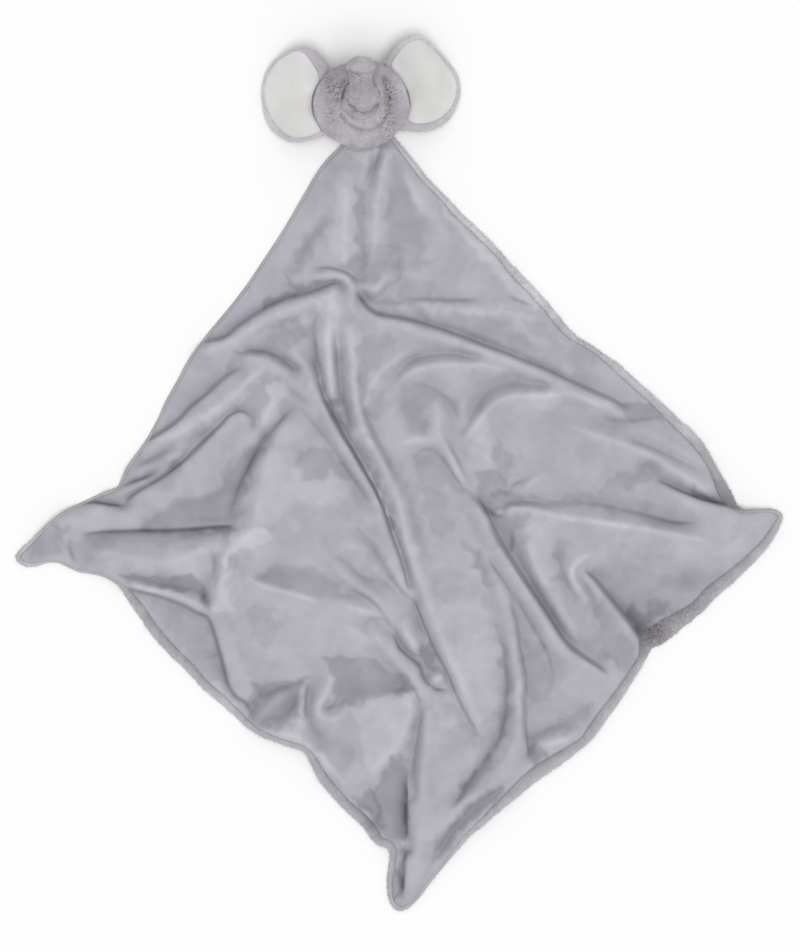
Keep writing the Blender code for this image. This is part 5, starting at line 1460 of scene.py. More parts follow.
def ringed(name, rings, material, first=None, last=None):
    """Piece through closed rings of points, closed at its ends by a point."""
    count = len(rings[0])
    points = np.vstack(list(rings) + [p for p in (first, last) if p is not None])
    here = np.arange(count)
    there = np.roll(here, -1)
    faces = []
    for k in range(len(rings) - 1):
        a, b = k * count, (k + 1) * count
        faces += np.stack([a + here, a + there, b + there, b + here], axis=1).tolist()
    at = len(rings) * count
    if first is not None:
        faces += np.stack([there, here, np.full(count, at)], axis=1).tolist()
        at += 1
    if last is not None:
        end = (len(rings) - 1) * count
        faces += np.stack([end + here, end + there, np.full(count, at)], axis=1).tolist()
    return new_piece(name, points, faces, material)


def middles(rings):
    """Points in the middle of the first and the last ring."""
    return rings[0].mean(axis=0)[None], rings[-1].mean(axis=0)[None]


def banded(first, second):
    """Triangles between two closed rings of point numbers."""
    faces = []
    for i in range(len(first)):
        j = (i + 1) % len(first)
        faces.append((first[i], first[j], second[j]))
        faces.append((first[i], second[j], second[i]))
    return faces


def mark_points(piece, name, values):
    """A number on each point of a piece, for its material or its pile."""
    attribute = piece.data.attributes.new(name, "FLOAT", "POINT")
    attribute.data.foreach_set("value", np.asarray(values, np.float32))


def turned_up(points, faces):
    """Triangles of an open cloth, each with its upper side up."""
    a, b, c = (points[faces[:, i], :2] for i in range(3))
    over = (b - a)[:, 0] * (c - a)[:, 1] - (b - a)[:, 1] * (c - a)[:, 0]
    return faces if over.sum() > 0 else faces[:, ::-1]


# Pile


def linked(tree, kind, inputs=(), **settings):
    """New node with its settings, and values or other nodes' sockets on its inputs."""
    node = tree.nodes.new(kind)
    for name, value in settings.items():
        setattr(node, name, value)
    for name, value in dict(inputs).items():
        socket = node.inputs[name]
        if isinstance(value, bpy.types.NodeSocket):
            tree.links.new(value, socket)
        else:
            socket.default_value = value
    return node


PILE_INPUTS = {
    "Tufts": 6.0e5, "Length": 4.0 * MM, "Width": 0.6 * MM, "Bend": 0.35, "Lean": 0.8,
    "Swirl": 6.0 * MM, "Brush": 0.0,
}
SWIRL_DETAIL = 1.5
SWIRL_GAIN = 3.0
TUFT_SIZES = (0.65, 1.15)


def pile_tree():
    """Node tree that grows tapered tufts on a skin, leaning in swirls as brushed plush does."""
    tree = bpy.data.node_groups.new("pile", "GeometryNodeTree")
    sockets = tree.interface
    sockets.new_socket("Skin", in_out="INPUT", socket_type="NodeSocketGeometry")
    for name, value in PILE_INPUTS.items():
        sockets.new_socket(name, in_out="INPUT", socket_type="NodeSocketFloat").default_value = value
    sockets.new_socket("Seed", in_out="INPUT", socket_type="NodeSocketInt")
    sockets.new_socket("Finish", in_out="INPUT", socket_type="NodeSocketMaterial")
    sockets.new_socket("Pile", in_out="OUTPUT", socket_type="NodeSocketGeometry")
    given = tree.nodes.new("NodeGroupInput").outputs

    def math_of(operation, a, b=0.0):
        node = tree.nodes.new("ShaderNodeMath")
        node.operation = operation
        for socket, value in zip(node.inputs, (a, b)):
            if isinstance(value, bpy.types.NodeSocket):
                tree.links.new(value, socket)
            else:
                socket.default_value = value
        return node.outputs[0]

    def vector_of(operation, a, b=None, scale=None):
        node = tree.nodes.new("ShaderNodeVectorMath")
        node.operation = operation
        for socket, value in zip(node.inputs, (a, b)):
            if isinstance(value, bpy.types.NodeSocket):
                tree.links.new(value, socket)
            elif value is not None:
                socket.default_value = value
        if scale is not None:
            tree.links.new(scale, node.inputs["Scale"])
        return node.outputs[0]

    cone = linked(tree, "GeometryNodeMeshCone", {
        "Vertices": 3, "Side Segments": 2, "Radius Top": 0.0,
        "Radius Bottom": given["Width"], "Depth": given["Length"],
    }, fill_type="NGON")
    place = linked(tree, "GeometryNodeInputPosition").outputs[0]
    parts = linked(tree, "ShaderNodeSeparateXYZ", {"Vector": place}).outputs
    share = math_of("DIVIDE", parts["Z"], given["Length"])
    tip = linked(tree, "GeometryNodeStoreNamedAttribute", {
        "Geometry": cone.outputs["Mesh"], "Name": "tip", "Value": share,
    }, data_type="FLOAT", domain="POINT")
    reach = math_of("MULTIPLY", given["Bend"], given["Length"])
    bent = math_of("MULTIPLY", math_of("MULTIPLY", share, share), reach)
    aside = linked(tree, "ShaderNodeCombineXYZ", {"X": bent}).outputs[0]
    tuft = linked(tree, "GeometryNodeSetPosition", {"Geometry": tip.outputs[0], "Offset": aside})

    thick = linked(tree, "GeometryNodeInputNamedAttribute", {"Name": "pile"}, data_type="FLOAT")
    spread = linked(tree, "GeometryNodeDistributePointsOnFaces", {
        "Mesh": given["Skin"], "Density": math_of("MULTIPLY", given["Tufts"], thick.outputs["Attribute"]),
        "Seed": given["Seed"],
    }, distribute_method="RANDOM")
    grain = math_of("DIVIDE", 1.0, given["Swirl"])
    noise = linked(tree, "ShaderNodeTexNoise", {"Vector": place, "Scale": grain, "Detail": SWIRL_DETAIL})
    swirl = vector_of("SUBTRACT", noise.outputs["Color"], (0.5, 0.5, 0.5))
    lean = vector_of("SCALE", swirl, scale=math_of("MULTIPLY", given["Lean"], SWIRL_GAIN))
    brush = linked(tree, "ShaderNodeCombineXYZ", {"Y": given["Brush"]}).outputs[0]
    heading = vector_of("ADD", vector_of("ADD", spread.outputs["Normal"], lean), brush)
    chance = linked(tree, "FunctionNodeRandomValue", {"Seed": given["Seed"]}, data_type="FLOAT")
    chance.inputs[2].default_value, chance.inputs[3].default_value = 0.0, 2 * math.pi
    spin = linked(tree, "ShaderNodeCombineXYZ", {"Z": chance.outputs[1]}).outputs[0]
    aim = linked(tree, "FunctionNodeAlignRotationToVector", {
        "Rotation": spin, "Vector": heading,
    }, axis="Z")
    size = linked(tree, "FunctionNodeRandomValue", {
        "Seed": math_of("ADD", given["Seed"], 1.0),
    }, data_type="FLOAT")
    size.inputs[2].default_value, size.inputs[3].default_value = TUFT_SIZES
    rooted = linked(tree, "GeometryNodeStoreNamedAttribute", {
        "Geometry": spread.outputs["Points"], "Name": "skin", "Value": spread.outputs["Normal"],
    }, data_type="FLOAT_VECTOR", domain="POINT")
    grown = linked(tree, "GeometryNodeInstanceOnPoints", {
        "Points": rooted.outputs[0], "Instance": tuft.outputs[0],
        "Rotation": aim.outputs[0], "Scale": size.outputs[1],
    })
    real = linked(tree, "GeometryNodeRealizeInstances", {"Geometry": grown.outputs[0]})
    smooth = linked(tree, "GeometryNodeSetShadeSmooth", {"Geometry": real.outputs[0]})
    dyed = linked(tree, "GeometryNodeSetMaterial", {
        "Geometry": smooth.outputs[0], "Material": given["Finish"],
    })
    out = tree.nodes.new("NodeGroupOutput")
    tree.links.new(dyed.outputs[0], out.inputs[0])
    return tree


def grown_pile(name, skin, tree, finish, seed, own, **sizes):
    """Pile of a skin as one mesh of its own, shaded mostly as the skin under it is."""
    modifier = skin.modifiers.new("pile", "NODES")
    modifier.node_group = tree
    wanted = {**PILE_INPUTS, **sizes, "Seed": seed, "Finish": finish}
    for socket in tree.interface.items_tree:
        if socket.in_out == "INPUT" and socket.name in wanted:
            modifier[socket.identifier] = wanted[socket.name]
    skin.update_tag()
    graph = bpy.context.evaluated_depsgraph_get()
    graph.update()
    mesh = bpy.data.meshes.new_from_object(skin.evaluated_get(graph))
    skin.modifiers.remove(modifier)
    mesh.name = name
    roots, normals = (np.empty(3 * len(mesh.vertices), np.float32) for _ in range(2))
    mesh.attributes["skin"].data.foreach_get("vector", roots)
    mesh.vertices.foreach_get("normal", normals)
    normals = (roots * (1.0 - own) + normals * own).reshape(-1, 3) + [0.0, 0.0, PILE_GLOW]
    mesh.normals_split_custom_set_from_vertices(normals / np.linalg.norm(normals, axis=1)[:, None])
    pile = bpy.data.objects.new(name, mesh)
    bpy.context.collection.objects.link(pile)
    return pile


# Finishes


ROUGHNESS = 0.95
SPECULAR = 0.15
BLOTCH_SPAN = (0.38, 0.62)
GRAIN_SPAN = (0.3, 0.7)
GRAIN_TINT = 0.12
SPECK_SPAN = (0.46, 0.60)
SHADE_TINT_POWERS = (("X", 0.98), ("Z", 0.92))


def times(tree, ink, factor):
    """Colour times a factor."""
    return linked(tree, "ShaderNodeVectorMath", {0: ink, 1: factor}, operation="MULTIPLY").outputs[0]


def tone_and_light_ink(tree, ink, curve_points):
    """Colour made lighter or darker, and bluer where dark, by the painted light and shade and the nap's
    tone on each point.
    """
    light_and_tone_value = linked(tree, "ShaderNodeAttribute", attribute_name="tone_and_painted_light")
    place = linked(tree, "ShaderNodeMath", {
        0: light_and_tone_value.outputs["Fac"], 1: 0.25, 2: 0.75,
    }, operation="MULTIPLY_ADD")
    gain = linked(tree, "ShaderNodeFloatCurve", {"Value": place.outputs[0]})
    curve = gain.mapping.curves[0]
    for point, (x, y) in zip(curve.points, (curve_points[0], curve_points[-1])):
        point.location = (x, y)
    for x, y in curve_points[1:-1]:
        curve.points.new(x, y)
    gain.mapping.update()
    double = linked(tree, "ShaderNodeMath", {0: gain.outputs[0], 1: 2.0}, operation="MULTIPLY").outputs[0]
    tint = linked(tree, "ShaderNodeCombineXYZ", {"Y": double})
    for axis, power in SHADE_TINT_POWERS:
        bent = linked(tree, "ShaderNodeMath", {0: double, 1: power}, operation="POWER")
        tree.links.new(bent.outputs[0], tint.inputs[axis])
    return times(tree, ink, tint.outputs[0])


def root_shade_ink(tree, ink, root_shade_share):
    """Colour of pile, with painted shade toward its roots."""
    tip = linked(tree, "ShaderNodeAttribute", attribute_name="tip")
    depth = linked(tree, "ShaderNodeMapRange", {
        "Value": tip.outputs["Fac"], "To Min": 1.0 - root_shade_share, "To Max": 1.0,
    })
    return times(tree, ink, depth.outputs[0])


def shade_and_knot_ink(tree, ink, where, specks):
    """Colour made darker by painted shade in creases and at listed places, lighter by painted light at
    others, and darker in small knots where the pile is matted.
    """
    size, strength = specks
    matted = linked(tree, "ShaderNodeAttribute", attribute_name="matted")
    curl = linked(tree, "ShaderNodeTexNoise", {"Vector": where, "Scale": 1.0 / size, "Detail": 1.0})
    knot = linked(tree, "ShaderNodeMapRange", {
        "Value": curl.outputs["Fac"], "From Min": SPECK_SPAN[0], "From Max": SPECK_SPAN[1],
        "To Min": 0.0, "To Max": strength,
    })
    dim = linked(tree, "ShaderNodeMath", {
        0: knot.outputs[0], 1: matted.outputs["Fac"],
    }, operation="MULTIPLY")
    painted_shade_and_light = linked(tree, "ShaderNodeAttribute", attribute_name="painted_shade_and_light")
    dark = linked(tree, "ShaderNodeMath", {
        0: painted_shade_and_light.outputs["Fac"], 1: CREASE_SHADE, 2: dim.outputs[0],
    }, operation="MULTIPLY_ADD")
    kept = linked(tree, "ShaderNodeMath", {0: 1.0, 1: dark.outputs[0]}, operation="SUBTRACT")
    return times(tree, ink, kept.outputs[0])


def finish_of(
    name, shade, light, blotch_size, grain_size, sheen,
    bump=None, glow=0.0, root_shade_share=0.0, tone_and_painted_light=None, specks=None,
):
    """Cloth finish: two shades in soft blotches, a fine grain, a sheen, some relief on skins, and painted
    light and shade.
    """
    material = bpy.data.materials.new(name)
    material.use_nodes = True
    tree = material.node_tree
    shader = tree.nodes["Principled BSDF"]
    shader.inputs["Roughness"].default_value = ROUGHNESS
    shader.inputs["Specular IOR Level"].default_value = SPECULAR
    shader.inputs["Sheen Weight"].default_value = sheen[0]
    shader.inputs["Sheen Roughness"].default_value = sheen[1]
    where = tree.nodes.new("ShaderNodeTexCoord").outputs["Object"]
    nap = linked(tree, "ShaderNodeTexNoise", {
        "Vector": where, "Scale": 1.0 / blotch_size, "Detail": 3.0, "Roughness": 0.55,
        "Distortion": 0.3,
    })
    edge = linked(tree, "ShaderNodeMapRange", {
        "Value": nap.outputs["Fac"], "From Min": BLOTCH_SPAN[0], "From Max": BLOTCH_SPAN[1],
    })
    grain = linked(tree, "ShaderNodeTexNoise", {
        "Vector": where, "Scale": 1.0 / grain_size, "Detail": 2.0,
    })
    part = linked(tree, "ShaderNodeMapRange", {
        "Value": grain.outputs["Fac"], "From Min": GRAIN_SPAN[0], "From Max": GRAIN_SPAN[1],
        "To Min": -GRAIN_TINT, "To Max": GRAIN_TINT,
    })
    both = linked(tree, "ShaderNodeMath", {
        0: edge.outputs[0], 1: part.outputs[0],
    }, operation="ADD", use_clamp=True)
    colour = linked(tree, "ShaderNodeMix", {"Factor": both.outputs[0]}, data_type="RGBA")
    colour.inputs[6].default_value = (*shade, 1.0)
    colour.inputs[7].default_value = (*light, 1.0)
    ink = colour.outputs[2]
    if tone_and_painted_light is not None:
        ink = tone_and_light_ink(tree, ink, tone_and_painted_light)
    if root_shade_share > 0.0:
        ink = root_shade_ink(tree, ink, root_shade_share)
    if specks is not None:
        ink = shade_and_knot_ink(tree, ink, where, specks)
    tree.links.new(ink, shader.inputs["Base Color"])
    if bump is not None:
        relief = linked(tree, "ShaderNodeBump", {
            "Height": grain.outputs["Fac"], "Strength": bump, "Distance": grain_size,
        }).outputs[0]
        if glow > 0.0:
            raised = linked(tree, "ShaderNodeVectorMath", {
                0: relief, 1: (0.0, 0.0, glow),
            }, operation="ADD").outputs[0]
            evened = linked(tree, "ShaderNodeVectorMath", {0: raised}, operation="NORMALIZE")
            relief = evened.outputs[0]
        tree.links.new(relief, shader.inputs["Normal"])
    return material


# Blanket


def low_of(heights, reach):
    """Lowest height near each place of the grid, for what must stay under the cloth."""
    low = heights.copy()
    for i in range(-reach, reach + 1):
        for j in range(-reach, reach + 1):
            low = np.minimum(low, np.roll(heights, (i, j), axis=(0, 1)))
    return low


def make_blanket_face(fine, coarse, seam, heights, velour):
    """Smooth cloth: its upper side with all the folds, and its lower side just under it."""
    plan, faces, loop = fine
    top = laid(plan, heights) + [0.0, 0.0, CLOTH]
    top[loop, 2] -= SEAM_DIP
    low_plan, low_faces, low_loop = coarse
    bottom = laid(low_plan, low_of(heights, UNDER_REACH)) + [0.0, 0.0, BACK_CLOTH + LAYER_ROOM]
    bottom[low_loop] = top[loop] - [0.0, 0.0, FACE_CLOTH - LAYER_ROOM]
    count = len(plan)
    low_loop = [i + count for i in low_loop]
    rim_faces = banded(low_loop, loop) if turn_of(seam) < 0 else banded(loop, low_loop)
    faces = turned_up(top, faces)
    low_faces = turned_up(bottom, low_faces)[:, ::-1] + count
    all_faces = faces.tolist() + low_faces.tolist() + rim_faces
    piece = new_piece("blanket_face_cloth", np.vstack([top, bottom]), all_faces, velour)
    # Painted highlights on crests and painted shade in valleys and under raised edges, with the nap's tone,
    # on the upper side's points
    nap = np.zeros(len(top) + len(bottom))
    nap[:count] = light_shade_and_tone_at(plan, heights, seam)
    mark_points(piece, "tone_and_painted_light", nap)
    return piece


def make_blanket_back(coarse, rim, seam, heights, plush):
    """Plush cloth under the face, with its edge rolled up as a border round the face."""
    plan, faces, loop = coarse
    wide = np.clip((np.hypot(*(seam - rim).T) - BORDER_THIN_PX) / BORDER_WIDE_PX, 0.0, 1.0)
    wide = eased(wide, 6)
    low = low_of(heights, UNDER_REACH)
    inner = laid(plan, low)
    upper = inner + [0.0, 0.0, BACK_CLOTH - LAYER_ROOM]
    lower = inner.copy()
    lower[:, 2] = np.maximum(lower[:, 2], FLOOR_ROOM)
    count = len(plan)
    rows = []
    for across, high, thin in BORDER_ROLL:
        px = seam + (rim - seam) * across
        lift = looked_up(heights, px) * MM
        z = lift + (thin + (high - thin) * wide) * MM
        x, y = floor_spot(px[:, 0], px[:, 1], z)
        rows.append(np.stack([x, y, z], axis=1))
    points = np.vstack([upper, lower] + rows)
    faces = turned_up(inner, faces)
    rings = [list(loop)]
    side = len(seam)
    for k in range(len(rows)):
        rings.append(list(range(2 * count + k * side, 2 * count + (k + 1) * side)))
    rings.append([i + count for i in loop])
    all_faces = faces.tolist() + (faces[:, ::-1] + count).tolist()
    for first, second in zip(rings, rings[1:]):
        all_faces += banded(second, first) if turn_of(seam) < 0 else banded(first, second)
    piece = new_piece("blanket_back_cloth", points, all_faces, plush)
    furred = np.zeros(len(points))
    for k in range(1, len(rows) - 2):
        furred[2 * count + k * side:2 * count + (k + 1) * side] = wide
    mark_points(piece, "pile", furred)
    # Painted shade and light on the border: at listed places, darker by the seam and lighter toward the
    # rim; matted knots too
    dark = shaded_places(seen_px(points), BORDER_SHADES_PX)
    matted = shaded_places(seen_px(points), BORDER_MATTED_PX)
    for k, (across, *_) in enumerate(BORDER_ROLL):
        row = slice(2 * count + k * side, 2 * count + (k + 1) * side)
        dark[row] += wide * (BORDER_SEAM_SHADE * (1.0 - across) ** 2 + BORDER_RIM_SHADE * across ** 2)
        matted[row] += wide * BORDER_MATTED
    mark_points(piece, "matted", matted)
    mark_points(piece, "painted_shade_and_light", dark)
    return piece


# Head


def seen_px(points):
    """Pixels at which the camera sees points in space."""
    nearer = 1.0 - points[:, 2] / CAMERA_HEIGHT
    return np.stack([
        MIDDLE_PX[0] + points[:, 0] / PER_PX / nearer,
        MIDDLE_PX[1] - points[:, 1] / PER_PX / nearer,
    ], axis=1)


def pressed(points, outward, table):
    """Points moved in or out by creases and rolls that were traced on the picture."""
    px = seen_px(points)
    push = np.zeros(len(points))
    for line, width, height in table:
        away = beside(px, smooth_line(line))[0]
        push += height * MM * np.exp(-(away / width) ** 2)
    return points + outward * push[:, None]


def shaded_places(px, table):
    """How dark pixels are that lie near named places."""
    return sum(
        dark * np.exp(-np.hypot(px[:, 0] - x, px[:, 1] - y) ** 2 / reach ** 2)
        for x, y, reach, dark in table
    )


def creases_at(points, table):
    """How deep in a crease points lie, from 0 to 1."""
    px = seen_px(points)
    deep = np.zeros(len(points))
    for line, width, height in table:
        if height < 0.0:
            away = beside(px, smooth_line(line))[0]
            deep = np.maximum(deep, -height / FULL_CREASE_MM * np.exp(-(away / width) ** 2))
    return deep.clip(0.0, 1.0)


def lumpy(points, outward, size, height, seed):
    """Points moved in and out by soft lumps, as of stuffing under a cover."""
    chance = np.random.default_rng(seed)
    push = np.zeros(len(points))
    for _ in range(LUMP_WAVES):
        wave = chance.normal(size=3)
        wave *= 2 * np.pi / size / np.linalg.norm(wave) * chance.uniform(*LUMP_SPAN)
        push += np.sin(points @ wave + chance.uniform(0, 2 * np.pi))
    return points + outward * (push * height / math.sqrt(LUMP_WAVES / 2))[:, None]


def head_rings(upward, inset):
    """Rings of half the head from its seam to near its pole."""
    depth = FACE_DEPTH if upward else NAPE_DEPTH
    angles = np.linspace(0.0, 1.0, HEAD_RINGS + 1)[:-1] * math.pi / 2
    turns = np.arange(HEAD_SIDES) * 2 * math.pi / HEAD_SIDES
    rings = []
    for angle in angles:
        plan = math.cos(angle) ** (2 / HEAD_FULLNESS)
        rise = math.sin(angle) ** (2 / HEAD_FULLNESS)
        if angle == 0.0:
            plan = 1.0
        x = HEAD_CENTRE[0] + (HEAD_WIDTH / 2 - inset) * plan * np.cos(turns)
        y = HEAD_CENTRE[1] + (HEAD_LENGTH / 2 - inset) * plan * np.sin(turns)
        z = np.full(HEAD_SIDES, HEAD_SEAM + (depth - inset) * rise * (1 if upward else -1))
        rings.append(np.stack([x, y, z], axis=1))
    return rings


def outward_of(points, scale):
    """Directions out of the head's round form at points."""
    away = (points - HEAD_MIDDLE) / np.array(scale) ** 2
    return away / np.linalg.norm(away, axis=1)[:, None]


def points_of(piece):
    """Points of a piece's mesh."""
    return np.array([v.co for v in piece.data.vertices])


def make_head_half(name, upward, plush):
    """Stuffed half of the head: its plush cover in the form of the filling, closed at the seam."""
    depth = FACE_DEPTH if upward else NAPE_DEPTH
    way = 1 if upward else -1
    pole = HEAD_MIDDLE + [0.0, 0.0, (depth - PILE_INSET) * way]
    points = np.vstack(head_rings(upward, PILE_INSET) + [pole])
    outward = outward_of(points, (HEAD_WIDTH / 2, HEAD_LENGTH / 2, depth))
    soft = lumpy(points, outward, HEAD_LUMP, HEAD_LUMP_HEIGHT, HEAD_SEED)
    if upward:
        soft = pressed(soft, outward, HEAD_FORMS)
        away = soft - TRUNK_BASE
        reach = np.linalg.norm(away, axis=1)
        seat = TRUNK_BALL - PILE_INSET / 2
        near = reach < seat
        soft[near] = TRUNK_BASE + away[near] * (seat / reach[near])[:, None]
        low = near & (soft[:, 2] > TRUNK_BASE[2])
        soft[low, 2] = TRUNK_BASE[2] - np.abs(soft[low, 2] - TRUNK_BASE[2])
    else:
        soft[:, 2] = np.maximum(soft[:, 2], PILE_INSET)
    # The seam pulls in
    soft[:HEAD_SIDES] += (HEAD_MIDDLE - soft[:HEAD_SIDES]) * HEAD_SEAM_PULL
    rings = [soft[k * HEAD_SIDES:(k + 1) * HEAD_SIDES] for k in range(HEAD_RINGS)]
    rings[0][:, 2] = HEAD_SEAM + SEAM_ROOM * way
    closing = np.array([[HEAD_CENTRE[0], HEAD_CENTRE[1], rings[0][0, 2]]])
    if not upward:
        rings = [ring[::-1] for ring in rings]
    piece = ringed(name, rings, plush, first=closing, last=soft[-1:])
    at = points_of(piece)
    px = seen_px(at)
    thick = np.ones(len(px))
    if upward:
        thick[np.linalg.norm(at - TRUNK_BASE, axis=1) < TRUNK_BALL - PILE_INSET * SEAT_BARE] = 0.0
        low = at[:, 2] < HEAD_SEAM + ROOT_CLEAR[0]
        thick[low & (np.abs(at[:, 1] - HEAD_CENTRE[1]) < ROOT_CLEAR[1])] = 0.0
    thick[-2] = 0.0
    mark_points(piece, "pile", thick)
    matted = np.full(len(px), BASE_MATTED)
    for x, y, wide, tall in MATTED_PX if upward else ():
        near = np.exp(-((px[:, 0] - x) / wide) ** 2 - ((px[:, 1] - y) / tall) ** 2)
        matted = np.maximum(matted, near)
    mark_points(piece, "matted", matted)
    # Painted shade in the face's creases, and painted light and shade at listed places
    mark_points(piece, "painted_shade_and_light", creases_at(at, HEAD_FORMS) * upward + shaded_places(px, HEAD_SHADES_PX))
    return piece


# Trunk


def trunk_way(along):
    """Places and directions on the trunk's middle line, which bends evenly past its ball."""
    radius = TRUNK_LENGTH / (TRUNK_TIP_LEAN - TRUNK_BASE_LEAN)
    lean = TRUNK_BASE_LEAN + max(along, 0.0) / radius
    heading = np.array([0.0, math.sin(lean), math.cos(lean)])
    if along <= 0.0:
        return TRUNK_BASE + heading * along, heading
    forward = radius * (math.cos(TRUNK_BASE_LEAN) - math.cos(lean))
    up = radius * (math.sin(lean) - math.sin(TRUNK_BASE_LEAN))
    return TRUNK_BASE + np.array([0.0, forward, up]), heading


def make_trunk(plush):
    """Stuffed trunk: a ball in the face, a wrinkled collar, a shaft and a flared tip."""
    profile = [(TRUNK_BALL * math.sin(a), TRUNK_BALL * math.cos(a)) for a in TRUNK_BALL_ANGLES]
    profile += [(TRUNK_LENGTH * a, TRUNK_BALL * r) for a, r in TRUNK_RING_SHARES]
    profile.append((TRUNK_LENGTH * TRUNK_TIP_SHARE, TRUNK_BALL * TRUNK_END_SHARE))
    curve = walked(smooth_line(profile), TRUNK_STEP)
    turns = np.arange(TRUNK_SIDES) * 2 * math.pi / TRUNK_SIDES
    side = np.array([1.0, 0.0, 0.0])
    rings, outs = [], []
    slope = np.gradient(curve, axis=0)
    for (along, across), (run, widen) in zip(curve, slope):
        centre, heading = trunk_way(along)
        over = np.cross(heading, side)
        flat = np.outer(np.cos(turns), side) + np.outer(np.sin(turns), over)
        out = flat * run - heading * widen
        out /= np.linalg.norm(out, axis=1)[:, None]
        inset = min(1.0, across / TRUNK_BALL * TRUNK_INSET_GAIN)
        rings.append(centre + flat * across - out * TRUNK_PILE_INSET * inset)
        outs.append(out)
    points, outward = np.vstack(rings), np.vstack(outs)
    points = lumpy(points, outward, TRUNK_LUMP, TRUNK_LUMP_HEIGHT, TRUNK_SEED)
    points = pressed(points, outward, TRUNK_FORMS)
    rings = [points[k * TRUNK_SIDES:(k + 1) * TRUNK_SIDES] for k in range(len(rings))]
    piece = ringed("trunk", rings, plush, *middles(rings))
    at = points_of(piece)
    thick = np.ones(len(at))
    thick[:TRUNK_SIDES] = 0.0
    mark_points(piece, "pile", thick)
    mark_points(piece, "matted", np.full(len(at), BASE_MATTED))
    # Painted shade in the trunk's wrinkles, and painted light and shade at listed places
    shades = shaded_places(seen_px(at), TRUNK_SHADES_PX)
    mark_points(piece, "painted_shade_and_light", creases_at(at, TRUNK_FORMS) + shades)
    return piece


# Ears


def head_half(height):
    """Share of the head's plan left at a height."""
    rise = height - HEAD_SEAM
    depth = FACE_DEPTH if rise > 0 else NAPE_DEPTH
    return (1.0 - min(abs(rise) / depth, 1.0) ** HEAD_FULLNESS) ** (1.0 / HEAD_FULLNESS)


def root_side(along):
    """Distance from the head's middle plane to an ear's root, which hugs the head's side."""
    share = max(head_half(EAR_ROOT_HEIGHT + EAR_EDGE * s) for s in (-1.0, 0.0, 1.0))
    left = np.maximum(0.0, 1.0 - (along / (HEAD_LENGTH / 2 * share + ROOT_ROOM)) ** 2)
    return (HEAD_WIDTH / 2 * share + ROOT_ROOM) * np.sqrt(left)


def ear_point(side, flat, lift):
    """Points of an ear in space, from places on the flat ear and heights over its middle."""
    gap = float(root_side(0.0)) + EAR_EDGE
    room = gap - root_side(flat[:, 1])
    out = np.maximum(flat[:, 0], -np.sqrt(np.maximum(room ** 2 - lift ** 2, 0.0)))
    share = np.clip(out / EAR_DROP_REACH, 0.0, 1.0)
    low = EAR_EDGE + EAR_ROOM
    height = EAR_ROOT_HEIGHT + (low - EAR_ROOT_HEIGHT) * share * share * (3.0 - 2.0 * share)
    return np.stack([
        HEAD_CENTRE[0] + side * (gap + out), HEAD_CENTRE[1] + flat[:, 1], height + lift,
    ], axis=1)


def ear_flat(table, side, root):
    """Closed even loop on the flat ear from a traced one; its root follows the head's side."""
    per_px = EAR_LENGTH / EAR_TOP_TO_BOTTOM_PX
    table = np.array(table, float)
    gap = float(root_side(0.0)) + EAR_EDGE
    out = side * (table[:, 0] - HEAD_CENTRE_PX[0]) * per_px - gap
    along = (HEAD_CENTRE_PX[1] - table[:, 1]) * per_px
    free = np.stack([np.maximum(out, root_side(along) - gap + root), along], axis=1)
    marks = np.linspace(free[-1, 1], free[0, 1], ROOT_POINTS + 1)[1:-1]
    home = np.stack([root_side(marks) - gap + root, marks], axis=1)
    curve = smooth_line(np.vstack([free, home]), closed=True)
    loop = walked(np.vstack([curve, curve[:1]]), EAR_STEP / 4)
    return eased(loop[:-1], 12)


def spoked(loop, centre, count):
    """Points of a loop at even bearings round a centre."""
    away = loop - centre
    bearing = np.unwrap(np.arctan2(away[:, 1], away[:, 0]))
    if bearing[-1] < bearing[0]:
        loop, away, bearing = loop[::-1], away[::-1], bearing[::-1]
    order = np.argsort(bearing % (2 * np.pi))
    turn = (bearing % (2 * np.pi))[order]
    want = np.arange(count) * 2 * np.pi / count
    turn = np.concatenate([turn - 2 * np.pi, turn, turn + 2 * np.pi])
    return np.stack([np.interp(want, turn, np.tile(loop[order, i], 3)) for i in (0, 1)], axis=1)


